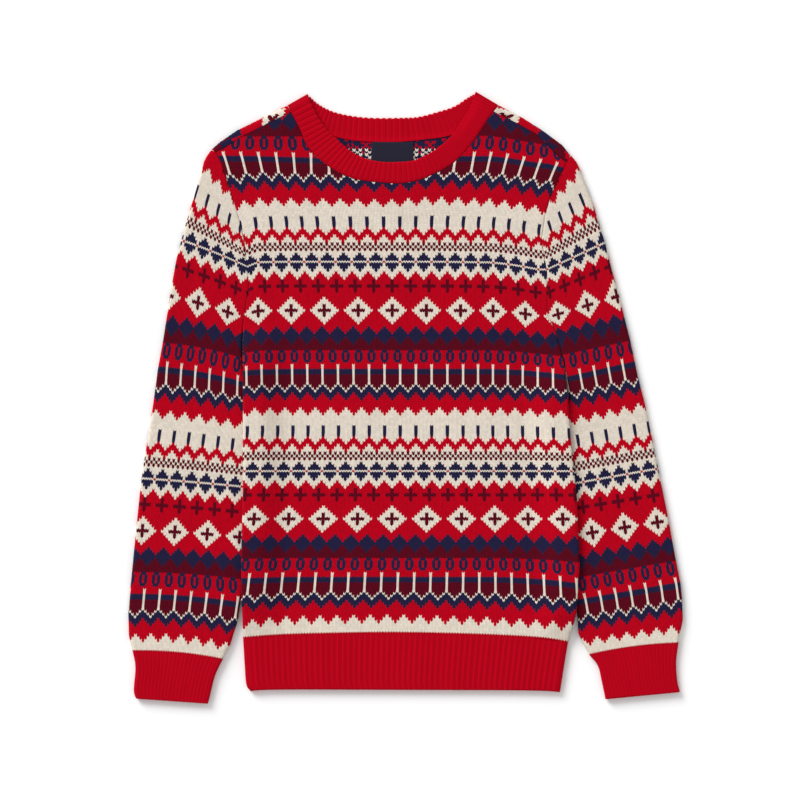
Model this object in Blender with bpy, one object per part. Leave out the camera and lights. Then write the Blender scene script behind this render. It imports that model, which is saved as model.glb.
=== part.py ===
"""A crew-neck sweater laid flat on its back, sleeves down at its sides.

Each knitted piece is a wall of cloth, made from an outside sheet and an inside sheet of points.
The back lies on the floor, the front on the back, and each sleeve is a folded tube whose inner
edge is tucked under the body.  Sizes are in millimetres; the wearer's left is +X, the hem is -Y.
"""
import math

import bmesh
import bpy
import numpy as np

MM = 0.001
WALL = 2.5                      # thickness of the knitted cloth
PLY_GAP = 0.5                   # between two layers that lie on each other
SEAM_GAP = 0.35                 # between two pieces along their seam
LAID_HEIGHT = 2 * WALL + PLY_GAP
MIDDLE = LAID_HEIGHT / 2
FOLD_WALL_SPREAD = 0.75         # half width of the tight hollow inside a folded edge
EDGE_ROUNDING = 3.0             # distance over which a sewn side edge thins
EDGE_SHARE = 0.35               # share of the wall that is left at a sewn side edge
RIB_RAISE = 0.3                 # a rib's crest above the plain wall
RIB_SINK = 0.5                  # a rib's furrow below the plain wall
BACK_RIB_RAISE = 0.1
TUCK_FLAT = 13.5                # the body lies level over the tucked sleeve this far in
TUCK_END = 42.0                 # and is down on the floor again here
NECK_RISE = 0.9                 # the front's neckline lies over the label
NECK_RISE_CENTRE = (-12.0, 222.0)
NECK_RISE_FLAT, NECK_RISE_END = 28.0, 75.0
HEM_RIBS, CUFF_RIBS, NECK_FRONT_RIBS, NECK_BACK_RIBS = 60, 18, 48, 38

RED = (0.48, 0.004, 0.013)
NAVY = (0.024, 0.026, 0.055)

# The body's two side edges from the hem rib's seam up to the shoulder: right and left edge, and
# how high the body is lifted there by the sleeve that lies under it.
SIDE_COLUMNS = ("right_x", "right_y", "right_lift", "left_x", "left_y", "left_lift")
SIDE_ROWS = [
    (-147.0, -217.5, 0.0, 147.0, -221.5, 0.0),
    (-147.5, -198.5, 3.4, 151.5, -207.5, 3.0),
    (-148.5, -183.0, 6.0, 154.5, -194.0, 6.0),
    (-148.5, -147.0, 6.0, 157.5, -151.5, 6.0),
    (-147.0, -83.5, 6.0, 155.0, -92.0, 6.0),
    (-147.0, -20.5, 6.0, 149.0, -35.0, 6.0),
    (-147.0, 11.5, 6.0, 147.5, -13.0, 6.0),
    (-147.0, 26.5, 6.0, 147.0, -0.5, 6.0),
    (-147.0, 40.5, 4.4, 145.5, 12.5, 4.4),
    (-147.0, 54.0, 1.8, 144.0, 26.0, 1.8),
    (-147.0, 65.5, 0.0, 142.0, 38.5, 0.0),
    (-144.5, 83.5, 0.0, 136.0, 59.5, 0.0),
    (-141.5, 102.5, 0.0, 128.0, 75.5, 0.0),
    (-143.5, 119.0, 0.0, 128.5, 92.0, 0.0),
    (-145.5, 140.0, 0.0, 128.0, 113.5, 0.0),
    (-150.5, 161.5, 0.0, 123.0, 142.5, 0.0),
    (-157.0, 183.0, 0.0, 126.5, 167.0, 0.0),
    (-162.5, 199.5, 0.0, 132.5, 185.0, 0.0),
    (-166.5, 212.0, 0.0, 139.5, 200.5, 0.0),
    (-171.5, 222.0, 0.0, 145.5, 212.0, 0.0),
]
UNDERARM_ROW = 10

# Where the body's panels meet the hem rib.
HEM_SEAM_COLUMNS = ("x", "y")
HEM_SEAM_ROWS = [(-147.0, -217.5), (-112.5, -215.0), (-59.5, -213.5), (-5.0, -213.0),
                 (64.0, -214.5), (121.5, -217.5), (147.0, -221.5)]

# The hem rib's two sides, from its seam down to its rounded corners.
HEM_SIDE_COLUMNS = ("right_x", "right_y", "left_x", "left_y")
HEM_SIDE_ROWS = [(-147.0, -217.5, 147.0, -221.5), (-145.5, -243.0, 143.5, -243.0),
                 (-144.0, -260.0, 140.5, -262.0), (-140.0, -266.0, 139.5, -267.0)]
HEM_BOTTOM_RISE = 2.0           # the hem's middle hangs this much less than its corners

# Shoulders from the armhole to the neck: the fold at the top, and the seam that lies forward of it.
SHOULDER_COLUMNS = ("fold_x", "fold_y", "seam_x", "seam_y")
RIGHT_SHOULDER_ROWS = [(-175.5, 224.5, -171.5, 222.0), (-168.5, 231.0, -164.0, 225.5),
                       (-152.5, 242.0, -149.0, 235.5), (-128.0, 254.0, -126.0, 247.0),
                       (-107.0, 264.5, -104.0, 258.0)]
LEFT_SHOULDER_ROWS = [(149.0, 219.5, 145.5, 212.0), (142.0, 228.5, 134.0, 222.0),
                      (123.0, 242.5, 118.5, 238.0), (105.5, 253.5, 101.5, 247.5),
                      (84.5, 264.5, 79.5, 258.5)]

# The neckband from corner to corner: its seam to the panel and its free edge.
NECK_COLUMNS = ("seam_x", "seam_y", "edge_x", "edge_y")
FRONT_NECK_ROWS = [
    (-107.0, 264.5, -88.5, 275.0), (-104.0, 258.0, -86.0, 267.5), (-96.5, 244.0, -78.5, 252.5),
    (-90.5, 229.5, -70.5, 241.5), (-82.5, 219.5, -63.5, 235.0), (-72.5, 211.0, -56.0, 228.0),
    (-59.5, 203.0, -47.5, 221.5), (-43.5, 197.0, -36.0, 216.0), (-24.0, 194.5, -21.0, 213.0),
    (-5.0, 193.5, -5.5, 213.0), (12.0, 196.5, 8.0, 214.5), (29.5, 204.0, 22.0, 221.0),
    (45.0, 213.5, 33.5, 229.0), (59.0, 228.5, 43.5, 239.0), (67.5, 240.5, 49.5, 248.5),
    (74.5, 251.5, 55.0, 257.0), (79.5, 258.5, 60.0, 266.5), (84.5, 264.5, 63.5, 277.0)]
BACK_NECK_ROWS = [
    (84.5, 264.5, 63.5, 277.0), (71.0, 253.0, 56.0, 270.5), (55.5, 243.5, 44.5, 263.0),
    (37.5, 236.5, 29.5, 258.0), (16.5, 233.5, 12.0, 253.5), (-5.0, 231.5, -5.0, 252.5),
    (-30.5, 231.5, -30.5, 252.5), (-52.0, 233.5, -50.0, 254.5), (-72.0, 239.0, -66.5, 258.5),
    (-91.0, 249.5, -79.0, 265.0), (-107.0, 264.5, -88.5, 275.0)]
FRONT_NECK_STEPS, BACK_NECK_STEPS = 20, 14

# Each sleeve below the shoulder.  From the shoulder to the underarm a row gives the outer fold,
# and its other end is the body's armhole; below that a row gives the outer and the inner edge.
CAP_COLUMNS = ("outer_x", "outer_y")
ARM_COLUMNS = ("outer_x", "outer_y", "inner_x", "inner_y")
RIGHT_CAP_ROWS = [(-176.0, 224.0), (-180.0, 218.5), (-182.5, 213.5), (-184.0, 207.5),
                  (-187.5, 196.0), (-193.5, 175.5), (-201.5, 148.0), (-206.5, 130.0),
                  (-211.0, 105.5), (-214.0, 87.5)]
RIGHT_ARM_ROWS = [
    (-216.0, 74.0, -147.7, 54.0), (-218.0, 61.0, -147.7, 40.5), (-220.5, 45.5, -147.7, 26.5),
    (-224.0, 27.0, -141.5, 12.0), (-229.0, -9.5, -136.5, -25.0), (-239.0, -72.5, -136.5, -81.0),
    (-244.0, -120.5, -137.0, -127.5), (-247.0, -151.5, -139.0, -158.5),
    (-249.5, -176.0, -149.3, -183.5), (-251.0, -194.0, -151.5, -201.0),
    (-250.5, -215.5, -159.0, -224.5), (-247.0, -229.5, -165.5, -237.0)]
LEFT_CAP_ROWS = [(149.7, 219.3), (154.5, 213.5), (157.0, 208.5), (160.5, 199.5),
                 (170.0, 174.5), (181.0, 139.0), (186.5, 116.5), (192.5, 95.5),
                 (197.5, 75.0), (203.0, 53.5)]
LEFT_ARM_ROWS = [
    (206.0, 40.0, 144.7, 26.0), (209.0, 26.0, 146.3, 12.5), (212.0, 12.5, 147.8, -0.5),
    (217.0, -7.0, 142.0, -21.0), (222.0, -30.5, 139.0, -44.0), (231.0, -75.5, 143.0, -91.0),
    (238.0, -110.0, 145.5, -126.0), (244.0, -143.5, 147.0, -158.5),
    (249.0, -168.5, 148.5, -183.0), (250.5, -183.0, 155.5, -195.5),
    (251.0, -201.0, 156.5, -214.0), (247.0, -222.5, 166.5, -233.0)]
SLEEVE_TOP_EASE = 0.8           # the sleeve's top point keeps this clear of the shoulder's corner
CUFF_SEAM_BOW = 2.2             # the cuff seam arches up this much between its ends

# The cuffs, from the seam to the wrist opening.
RIGHT_CUFF_ROWS = [(-247.0, -229.5, -165.5, -237.0), (-244.5, -244.0, -172.5, -252.0),
                   (-246.0, -264.5, -177.5, -272.0), (-244.0, -272.5, -179.0, -277.0)]
LEFT_CUFF_ROWS = [(247.0, -222.5, 166.5, -233.0), (245.0, -239.0, 174.0, -242.5),
                  (246.0, -256.5, 177.5, -256.5), (248.5, -266.5, 181.0, -273.0)]

LABEL_WIDTH, LABEL_HEIGHT, LABEL_THICKNESS = 38.0, 21.5, 0.6
LABEL_TOP_CENTRE = (-12.0, 230.5)

# Shares of the body's width at which the panels have columns of points beside each side edge.
EDGE_SHARES = (0.0, 0.0035, 0.010)
TUCK_SHARES = (0.045, 0.070, 0.100, 0.135, 0.170)


# ------------------------------------------------------------------ working with tables and points
def column(rows, names, name):
    return np.array([row[names.index(name)] for row in rows], dtype=float)


def points(rows, names, prefix):
    """The x and y columns that begin with a prefix, as an array of points."""
    return np.stack([column(rows, names, prefix + "x"), column(rows, names, prefix + "y")], axis=1)


def smooth_path(table, steps):
    """A smooth curve through a table's points (Catmull-Rom), at evenly spaced steps."""
    table = np.asarray(table, dtype=float)
    padded = np.vstack([2 * table[0] - table[1], table, 2 * table[-1] - table[-2]])
    path = []
    for place in np.linspace(0, len(table) - 1, steps + 1):
        i = min(int(place), len(table) - 2)
        t = place - i
        before, start, end, after = padded[i:i + 4]
        path.append(0.5 * (2 * start + (end - before) * t
                           + (2 * before - 5 * start + 4 * end - after) * t ** 2
                           + (3 * start - before - 3 * end + after) * t ** 3))
    return np.array(path)


def along(path, places):
    """Points on a straight-sided path at places counted in its own points."""
    numbers = np.arange(len(path))
    return np.stack([np.interp(places, numbers, path[:, k]) for k in range(path.shape[1])], axis=1)


def unit(vectors):
    return vectors / np.linalg.norm(vectors, axis=-1, keepdims=True)


def smooth_step(value, low, high):
    t = np.clip((value - low) / (high - low), 0.0, 1.0)
    return t * t * (3 - 2 * t)


def edge_thinning(distance, rounding=EDGE_ROUNDING):
    """Share of the wall's thickness at a distance from a sewn edge: it rounds off there."""
    near = 1 - np.clip(distance / rounding, 0.0, 1.0)
    return EDGE_SHARE + (1 - EDGE_SHARE) * np.sqrt(1 - near ** 2)


# ------------------------------------------------------------------ the body's outline and height
right_side = points(SIDE_ROWS, SIDE_COLUMNS, "right_")
left_side = points(SIDE_ROWS, SIDE_COLUMNS, "left_")
right_lift = column(SIDE_ROWS, SIDE_COLUMNS, "right_lift")
left_lift = column(SIDE_ROWS, SIDE_COLUMNS, "left_lift")


def right_x(y):
    return np.interp(y, right_side[:, 1], right_side[:, 0])


def left_x(y):
    return np.interp(y, left_side[:, 1], left_side[:, 0])


def body_lift(x, y):
    """Height of the body's underside: zero, but raised at the sides where a sleeve is tucked in."""
    right = np.interp(y, right_side[:, 1], right_lift)
    left = np.interp(y, left_side[:, 1], left_lift)
    right = right * (1 - smooth_step(x - right_x(y), TUCK_FLAT, TUCK_END))
    left = left * (1 - smooth_step(left_x(y) - x, TUCK_FLAT, TUCK_END))
    return right + left


def neck_rise(x, y):
    """Extra height of the front's neckline, which lies over the label."""
    distance = np.hypot(x - NECK_RISE_CENTRE[0], y - NECK_RISE_CENTRE[1])
    return NECK_RISE * (1 - smooth_step(distance, NECK_RISE_FLAT, NECK_RISE_END))


front_neck = points(FRONT_NECK_ROWS, NECK_COLUMNS, "seam_")
front_edge = points(FRONT_NECK_ROWS, NECK_COLUMNS, "edge_")
back_neck = points(BACK_NECK_ROWS, NECK_COLUMNS, "seam_")
back_edge = points(BACK_NECK_ROWS, NECK_COLUMNS, "edge_")


def fold_start(corner, towards):
    """The point where a folded edge has reached its full height, one bend radius in."""
    return corner + unit(towards - corner) * MIDDLE


right_corner = fold_start(front_neck[0], front_neck[1])
left_corner = fold_start(front_neck[-1], front_neck[-2])
right_corner_edge = fold_start(front_edge[0], front_edge[1])
left_corner_edge = fold_start(front_edge[-1], front_edge[-2])

# The neck seam as the panels' own straight-sided paths, and the neckband's free edges beside them.
front_seam_path = smooth_path(front_neck[1:-1], FRONT_NECK_STEPS)
front_edge_path = smooth_path(front_edge[1:-1], FRONT_NECK_STEPS)
back_seam_path = smooth_path(np.vstack([left_corner, back_neck[1:-1], right_corner]), BACK_NECK_STEPS)
back_edge_path = smooth_path(np.vstack([left_corner_edge, back_edge[1:-1], right_corner_edge]),
                             BACK_NECK_STEPS)


# ------------------------------------------------------------------ making the solids
def knit_material(name, colour):
    material = bpy.data.materials.new(name)
    material.use_nodes = True
    shader = material.node_tree.nodes["Principled BSDF"]
    shader.inputs["Base Color"].default_value = (*colour, 1.0)
    shader.inputs["Roughness"].default_value = 0.9
    shader.inputs["Metallic"].default_value = 0.0
    material.diffuse_color = (*colour, 1.0)
    return material


def add_sheet(mesh, sheet, kept, outward):
    """One sheet of points as a grid; where kept is given, only those of its faces stay."""
    rows, columns, _ = sheet.shape
    grid = bmesh.ops.create_grid(mesh, x_segments=columns - 1, y_segments=rows - 1, size=1.0)
    number = {corner: i for i, corner in enumerate(grid["verts"])}
    for corner, place in zip(grid["verts"], sheet.reshape(-1, 3)):
        corner.co = place * MM
    faces = [face for face in mesh.faces if face.verts[0] in number]
    if not outward:
        bmesh.ops.reverse_faces(mesh, faces=faces)
    if kept is not None:
        dropped = []
        for face in faces:
            row = min(number[corner] // columns for corner in face.verts)
            step = min(number[corner] % columns for corner in face.verts)
            if not kept[row, step]:
                dropped.append(face)
        bmesh.ops.delete(mesh, geom=dropped, context="FACES")


def add_wall(name, outside, inside, colour, kept=None):
    """A closed wall between an outside and an inside sheet, as one object."""
    mesh = bmesh.new()
    add_sheet(mesh, outside, kept, True)
    add_sheet(mesh, inside, kept, False)
    rim = [edge for edge in mesh.edges if edge.is_boundary]
    bmesh.ops.bridge_loops(mesh, edges=rim)
    bmesh.ops.recalc_face_normals(mesh, faces=mesh.faces[:])
    data = bpy.data.meshes.new(name)
    mesh.to_mesh(data)
    mesh.free()
    data.materials.append(knit_material(name, colour))
    data.shade_smooth()
    data.set_sharp_from_angle(angle=math.radians(40))
    made = bpy.data.objects.new(name, data)
    collection.objects.link(made)
    return made


def raised(plan, height):
    return np.concatenate([plan, height[..., None]], axis=-1)


def rib_heights(count):
    """Crest and furrow by turns, for the points across a number of ribs."""
    return np.where(np.arange(2 * count + 1) % 2 == 0, -RIB_SINK, RIB_RAISE)


# ------------------------------------------------------------------ the two body panels
def shoulder_paths(rows):
    fold = points(rows, SHOULDER_COLUMNS, "fold_")
    seam = points(rows, SHOULDER_COLUMNS, "seam_")
    return fold, seam


right_fold, right_seam = shoulder_paths(RIGHT_SHOULDER_ROWS)
left_fold, left_seam = shoulder_paths(LEFT_SHOULDER_ROWS)
body_width = left_side[-1, 0] - right_side[-1, 0]
right_neck_share = (front_seam_path[0, 0] - right_side[-1, 0]) / body_width
left_neck_share = (front_seam_path[-1, 0] - right_side[-1, 0]) / body_width
right_shares = np.array(EDGE_SHARES + TUCK_SHARES + (right_neck_share,))
left_shares = 1 - np.array((1 - left_neck_share,) + TUCK_SHARES[::-1] + EDGE_SHARES[::-1])
right_places = right_shares / right_neck_share * (len(right_fold) - 1)
left_places = (1 - left_shares) / (1 - left_neck_share) * (len(left_fold) - 1)


def neck_shares(path):
    """Shares of the body's width for the points of a neck path, right to left."""
    across = (path[:, 0] - path[0, 0]) / (path[-1, 0] - path[0, 0])
    return right_neck_share + across * (left_neck_share - right_neck_share)


def panel_plan(shares, tops):
    """A body panel's points in plan: columns from the hem seam up to the given top points."""
    hem_x = column(HEM_SEAM_ROWS, HEM_SEAM_COLUMNS, "x")
    hem_y = column(HEM_SEAM_ROWS, HEM_SEAM_COLUMNS, "y")
    hem_at = hem_x[0] + shares * (hem_x[-1] - hem_x[0])
    hem_path = smooth_path(np.stack([hem_x, hem_y], axis=1), 60)
    bottom = np.interp(hem_at, hem_path[:, 0], hem_path[:, 1])
    right, left = right_side.copy(), left_side.copy()
    right[-1], left[-1] = tops[0], tops[-1]
    right_part = (right[:, 1] - right[0, 1]) / (right[-1, 1] - right[0, 1])
    left_part = (left[:, 1] - left[0, 1]) / (left[-1, 1] - left[0, 1])
    part = right_part[:, None] * (1 - shares) + left_part[:, None] * shares
    y = bottom + (tops[:, 1] - bottom) * part
    from_x, to_x = np.interp(y, right[:, 1], right[:, 0]), np.interp(y, left[:, 1], left[:, 0])
    x = from_x + shares * (to_x - from_x)
    x = x + (tops[:, 0] - x[-1]) * smooth_step(part, 0.72, 1.0)
    x[:, 0], y[:, 0] = right.T
    x[:, -1], y[:, -1] = left.T
    return np.stack([x, y], axis=-1)


def side_thinning(plan):
    """The panels round off at their side seams and armholes."""
    from_right = plan[..., 0] - plan[:, :1, 0]
    from_left = plan[:, -1:, 0] - plan[..., 0]
    return edge_thinning(np.minimum(from_right, from_left))


def add_front():
    shares = np.concatenate([right_shares[:-1], neck_shares(front_seam_path), left_shares[1:]])
    tops = np.vstack([along(right_seam, right_places)[:-1], front_seam_path,
                      along(left_seam, left_places)[1:]])
    plan = panel_plan(shares, tops)
    x, y = plan[..., 0], plan[..., 1]
    under = body_lift(x, y) + neck_rise(x, y) + WALL + PLY_GAP
    over = under + WALL * side_thinning(plan)
    add_wall("front", raised(plan, over), raised(plan, under), RED)


def add_back():
    """The back runs up over the shoulder fold and a little way down the front of it."""
    right_folds, right_seams = along(right_fold, right_places), along(right_seam, right_places)
    left_folds, left_seams = along(left_fold, left_places), along(left_seam, left_places)
    shares = np.concatenate([right_shares[:-1], neck_shares(back_seam_path[::-1]), left_shares[1:]])
    neck_columns = len(back_seam_path) - 2
    folds = np.vstack([right_folds, np.zeros((neck_columns, 2)), left_folds])
    seams = np.vstack([right_seams, np.ones((neck_columns, 2)), left_seams])
    forward = unit(seams - folds)
    seams = seams - forward * SEAM_GAP
    starts = folds + forward * MIDDLE
    first_neck = len(right_folds)
    starts[first_neck:first_neck + neck_columns] = back_seam_path[::-1][1:-1]
    plan = panel_plan(shares, starts)
    x, y = plan[..., 0], plan[..., 1]
    top = body_lift(x, y) + WALL
    thin = side_thinning(plan)
    outside, inside = [raised(plan, top - WALL * thin)], [raised(plan, top)]
    thin = thin[-1]
    for bend in np.radians((-45.0, 0.0, 45.0, 90.0)):
        out_plan = folds + forward * MIDDLE * (1 - math.cos(bend))
        in_plan = folds + forward * (MIDDLE - FOLD_WALL_SPREAD * math.cos(bend))
        in_height = np.full(len(folds), MIDDLE + PLY_GAP / 2 * math.sin(bend))
        out_height = MIDDLE + (MIDDLE * math.sin(bend)) * thin
        outside.append(raised(out_plan, out_height)[None])
        inside.append(raised(in_plan, in_height)[None])
    outside.append(raised(seams, MIDDLE + PLY_GAP / 2 + WALL * thin)[None])
    inside.append(raised(seams, np.full(len(folds), MIDDLE + PLY_GAP / 2))[None])
    outside, inside = np.concatenate(outside), np.concatenate(inside)
    kept = np.ones((outside.shape[0] - 1, outside.shape[1] - 1), dtype=bool)
    kept[len(SIDE_ROWS) - 1:, first_neck - 1:first_neck + neck_columns] = False
    add_wall("back", outside, inside, RED, kept)


# ------------------------------------------------------------------ the hem ribs
def hem_plan(shares):
    rows = points(HEM_SIDE_ROWS, HEM_SIDE_COLUMNS, "right_"), \
        points(HEM_SIDE_ROWS, HEM_SIDE_COLUMNS, "left_")
    hem_path = smooth_path(HEM_SEAM_ROWS, 60)
    seam_x = hem_path[0, 0] + shares * (hem_path[-1, 0] - hem_path[0, 0])
    seam_y = np.interp(seam_x, hem_path[:, 0], hem_path[:, 1]) - SEAM_GAP
    plan = []
    bottom = rows[0][-1, 1] * (1 - shares) + rows[1][-1, 1] * shares
    bottom = bottom + HEM_BOTTOM_RISE * np.sqrt(np.clip(1 - (2 * shares - 1) ** 8, 0, 1))
    for right, left in zip(*rows):
        x = right[0] + shares * (left[0] - right[0])
        share_down = (right[1] * (1 - shares) + left[1] * shares)
        span = (rows[0][0, 1] * (1 - shares) + rows[1][0, 1] * shares)
        down = (span - share_down) / (span - (rows[0][-1, 1] * (1 - shares)
                                              + rows[1][-1, 1] * shares))
        plan.append(np.stack([x, seam_y + (bottom - seam_y) * down], axis=1))
    return np.array(plan)


def add_hem_ribs():
    rib_shares = np.linspace(EDGE_SHARES[-1], 1 - EDGE_SHARES[-1], 2 * HEM_RIBS + 1)
    shares = np.concatenate([EDGE_SHARES[:-1], rib_shares, 1 - np.array(EDGE_SHARES[-2::-1])])
    relief = np.zeros(len(shares))
    relief[len(EDGE_SHARES) - 1:1 - len(EDGE_SHARES)] = rib_heights(HEM_RIBS)
    plan = hem_plan(shares)
    low = np.full(plan.shape[:2], WALL + PLY_GAP)
    high = low + WALL * side_thinning(plan) + relief
    add_wall("hem_rib_front", raised(plan, high), raised(plan, low), RED)
    plain = np.concatenate([EDGE_SHARES, np.linspace(0.03, 0.97, 19), 1 - np.array(EDGE_SHARES[::-1])])
    plan = hem_plan(plain)
    high = np.full(plan.shape[:2], WALL)
    low = high - WALL * side_thinning(plan)
    add_wall("hem_rib_back", raised(plan, low), raised(plan, high), RED)


# ------------------------------------------------------------------ sleeves and cuffs
def folded_tube(outer, inner, top_points, ribs, bow):
    """A cloth folded at its outer edge, its two long edges meeting at the seam on the inner side.

    Each row runs from the seam over the top to the outer fold and back under to the seam.
    """
    rows_out, rows_in = [], []
    for place, (outer_end, inner_end) in enumerate(zip(outer, inner)):
        width = np.linalg.norm(inner_end - outer_end)
        across = (inner_end - outer_end) / width
        up = np.array([-across[1], across[0]]) * (1 if across[0] > 0 else -1)
        narrow = min(1.0, width / 14.0)
        bend_width = MIDDLE * narrow
        seam_steps = EDGE_ROUNDING * narrow * np.array((0.0, 0.35, 1.0))
        flat = np.linspace(width - seam_steps[-1], bend_width, top_points)
        under_flat = np.linspace(bend_width, width - seam_steps[-1], 6)
        relief = np.zeros(top_points) if ribs is None else rib_heights(ribs)
        thin = edge_thinning(seam_steps, EDGE_ROUNDING * narrow)
        half = PLY_GAP / 2
        bends = np.radians((45.0, 0.0, -45.0))
        fold_out = bend_width * (1 - np.cos(bends))
        fold_in = bend_width - FOLD_WALL_SPREAD * narrow * np.cos(bends)
        distance_out = np.concatenate([width - seam_steps[:-1], flat, fold_out, under_flat,
                                       width - seam_steps[-2::-1]])
        distance_in = np.concatenate([width - seam_steps[:-1], flat, fold_in, under_flat,
                                      width - seam_steps[-2::-1]])
        height_out = np.concatenate([half + WALL * thin[:-1], half + WALL + relief,
                                     MIDDLE * np.sin(bends), np.full(6, -half - WALL),
                                     -half - WALL * thin[-2::-1]])
        height_in = np.concatenate([np.full(top_points + 2, half), half * np.sin(bends),
                                    np.full(8, -half)])
        for distance, height, rows in ((distance_out, height_out, rows_out),
                                       (distance_in, height_in, rows_in)):
            share = distance / width
            arch = bow[place] * 4 * share * (1 - share)
            plan = outer_end + distance[:, None] * across + arch[:, None] * up
            rows.append(raised(plan, MIDDLE + height))
    return np.array(rows_out), np.array(rows_in)


def add_sleeve(name, side, cap_rows, arm_rows):
    """From the top of the armhole down to the cuff's seam."""
    away = -1 if side[0, 0] < 0 else 1
    armhole = side[UNDERARM_ROW:][::-1] + np.array((away * SEAM_GAP, 0.0))
    armhole[0] += np.array((away, -1.0)) * SLEEVE_TOP_EASE
    outer = np.vstack([points(cap_rows, CAP_COLUMNS, "outer_"),
                       points(arm_rows, ARM_COLUMNS, "outer_")])
    inner = np.vstack([armhole, points(arm_rows, ARM_COLUMNS, "inner_")])
    bow = np.zeros(len(outer))
    bow[-2:] = CUFF_SEAM_BOW / 2, CUFF_SEAM_BOW
    add_wall(name, *folded_tube(outer, inner, 6, None, bow), RED)


def add_cuff(name, rows):
    outer, inner = points(rows, ARM_COLUMNS, "outer_"), points(rows, ARM_COLUMNS, "inner_")
    down = unit(outer[1] - outer[0] + inner[1] - inner[0]) * SEAM_GAP
    outer[0] += down
    inner[0] += down
    bow = CUFF_SEAM_BOW * np.array((1.0, 0.5, 0.0, 0.0))
    add_wall(name, *folded_tube(outer, inner, 2 * CUFF_RIBS + 1, CUFF_RIBS, bow), RED)


# ------------------------------------------------------------------ neckband and label
def evenly_along(path, count):
    """Places on a path, in its own points, that lie evenly along its length."""
    steps = np.linalg.norm(np.diff(path, axis=0), axis=1)
    length = np.concatenate([[0.0], np.cumsum(steps)])
    return np.interp(np.linspace(0, length[-1], count), length, np.arange(len(path)))


def add_neckband():
    """One ring, folded at both neck corners and joined by a short seam behind the right corner."""
    shares = np.array((0.0, 0.35, 0.7, 1.0))
    stations = []

    def add_station(seam, edge, out_height, in_height):
        towards = unit(edge - seam)
        seam = seam + towards * SEAM_GAP
        plan = seam + shares[:, None] * (edge - seam)
        stations.append((plan, out_height, in_height))

    def add_fold(corner_seam, next_seam, corner_edge, next_edge, bends):
        forward_seam = unit(next_seam - corner_seam)
        forward_edge = unit(next_edge - corner_edge)
        for bend in np.radians(bends):
            out_in = MIDDLE * (1 - math.cos(bend)), MIDDLE - FOLD_WALL_SPREAD * math.cos(bend)
            out_plan, in_plan = [], []
            for into, plan in zip(out_in, (out_plan, in_plan)):
                seam = corner_seam + forward_seam * into
                edge = corner_edge + forward_edge * into
                seam = seam + unit(edge - seam) * SEAM_GAP
                plan.append(seam + shares[:, None] * (edge - seam))
            out_height = np.full(len(shares), MIDDLE + MIDDLE * math.sin(bend))
            in_height = np.full(len(shares), MIDDLE + PLY_GAP / 2 * math.sin(bend))
            stations.append((out_plan[0], out_height, in_height, in_plan[0]))

    front_seam = np.vstack([right_corner, front_seam_path, left_corner])
    front_free = np.vstack([right_corner_edge, front_edge_path, left_corner_edge])
    add_fold(front_neck[0], front_neck[1], front_edge[0], front_edge[1], (-45.0, 0.0, 45.0))
    places = evenly_along(front_seam, 2 * NECK_FRONT_RIBS + 1)
    relief = rib_heights(NECK_FRONT_RIBS)
    for place, rib in zip(places, relief):
        seam, edge = along(front_seam, [place])[0], along(front_free, [place])[0]
        plan = seam + shares[:, None] * (edge - seam)
        under = WALL + PLY_GAP + neck_rise(plan[:, 0], plan[:, 1])
        add_station(seam, edge, under + WALL + rib, under)
    add_fold(front_neck[-1], front_neck[-2], front_edge[-1], front_edge[-2], (45.0, 0.0, -45.0))
    places = evenly_along(back_seam_path, 2 * NECK_BACK_RIBS + 1)[:-1]
    relief = np.where(rib_heights(NECK_BACK_RIBS)[:-1] > 0, BACK_RIB_RAISE, -RIB_SINK)
    for place, rib in zip(places, relief):
        seam, edge = along(back_seam_path, [place])[0], along(back_edge_path, [place])[0]
        add_station(seam, edge, np.zeros(len(shares)), np.full(len(shares), WALL + rib))
    outside = np.array([raised(s[0], s[1]) for s in stations])
    inside = np.array([raised(s[3] if len(s) == 4 else s[0], s[2]) for s in stations])
    add_wall("neckband", outside, inside, RED)


def add_label():
    across = LABEL_TOP_CENTRE[0] + LABEL_WIDTH * np.linspace(-0.5, 0.5, 5)
    down = LABEL_TOP_CENTRE[1] - LABEL_HEIGHT * np.linspace(0.0, 1.0, 4)
    plan = np.stack(np.meshgrid(across, down), axis=-1)
    low = np.full(plan.shape[:2], WALL + SEAM_GAP)
    add_wall("label", raised(plan, low + LABEL_THICKNESS), raised(plan, low), NAVY)


for old in list(bpy.data.objects):
    bpy.data.objects.remove(old, do_unlink=True)
collection = bpy.data.collections.new("laid_sweater")
bpy.context.scene.collection.children.link(collection)

add_back()
add_front()
add_hem_ribs()
add_sleeve("sleeve_right", right_side, RIGHT_CAP_ROWS, RIGHT_ARM_ROWS)
add_sleeve("sleeve_left", left_side, LEFT_CAP_ROWS, LEFT_ARM_ROWS)
add_cuff("cuff_right", RIGHT_CUFF_ROWS)
add_cuff("cuff_left", LEFT_CUFF_ROWS)
add_neckband()
add_label()
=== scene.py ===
"""Looks of a jacquard-knitted crew-neck sweater that lies flat on its back.

Lengths are in millimetres until a mesh is made.  The wearer's left is +X and the hem is -Y.
A place on the knitting is given by its wale, counted sideways from a motif's centre line, and
by its row, counted down from the top of the second pattern repeat.
"""
import math

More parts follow.
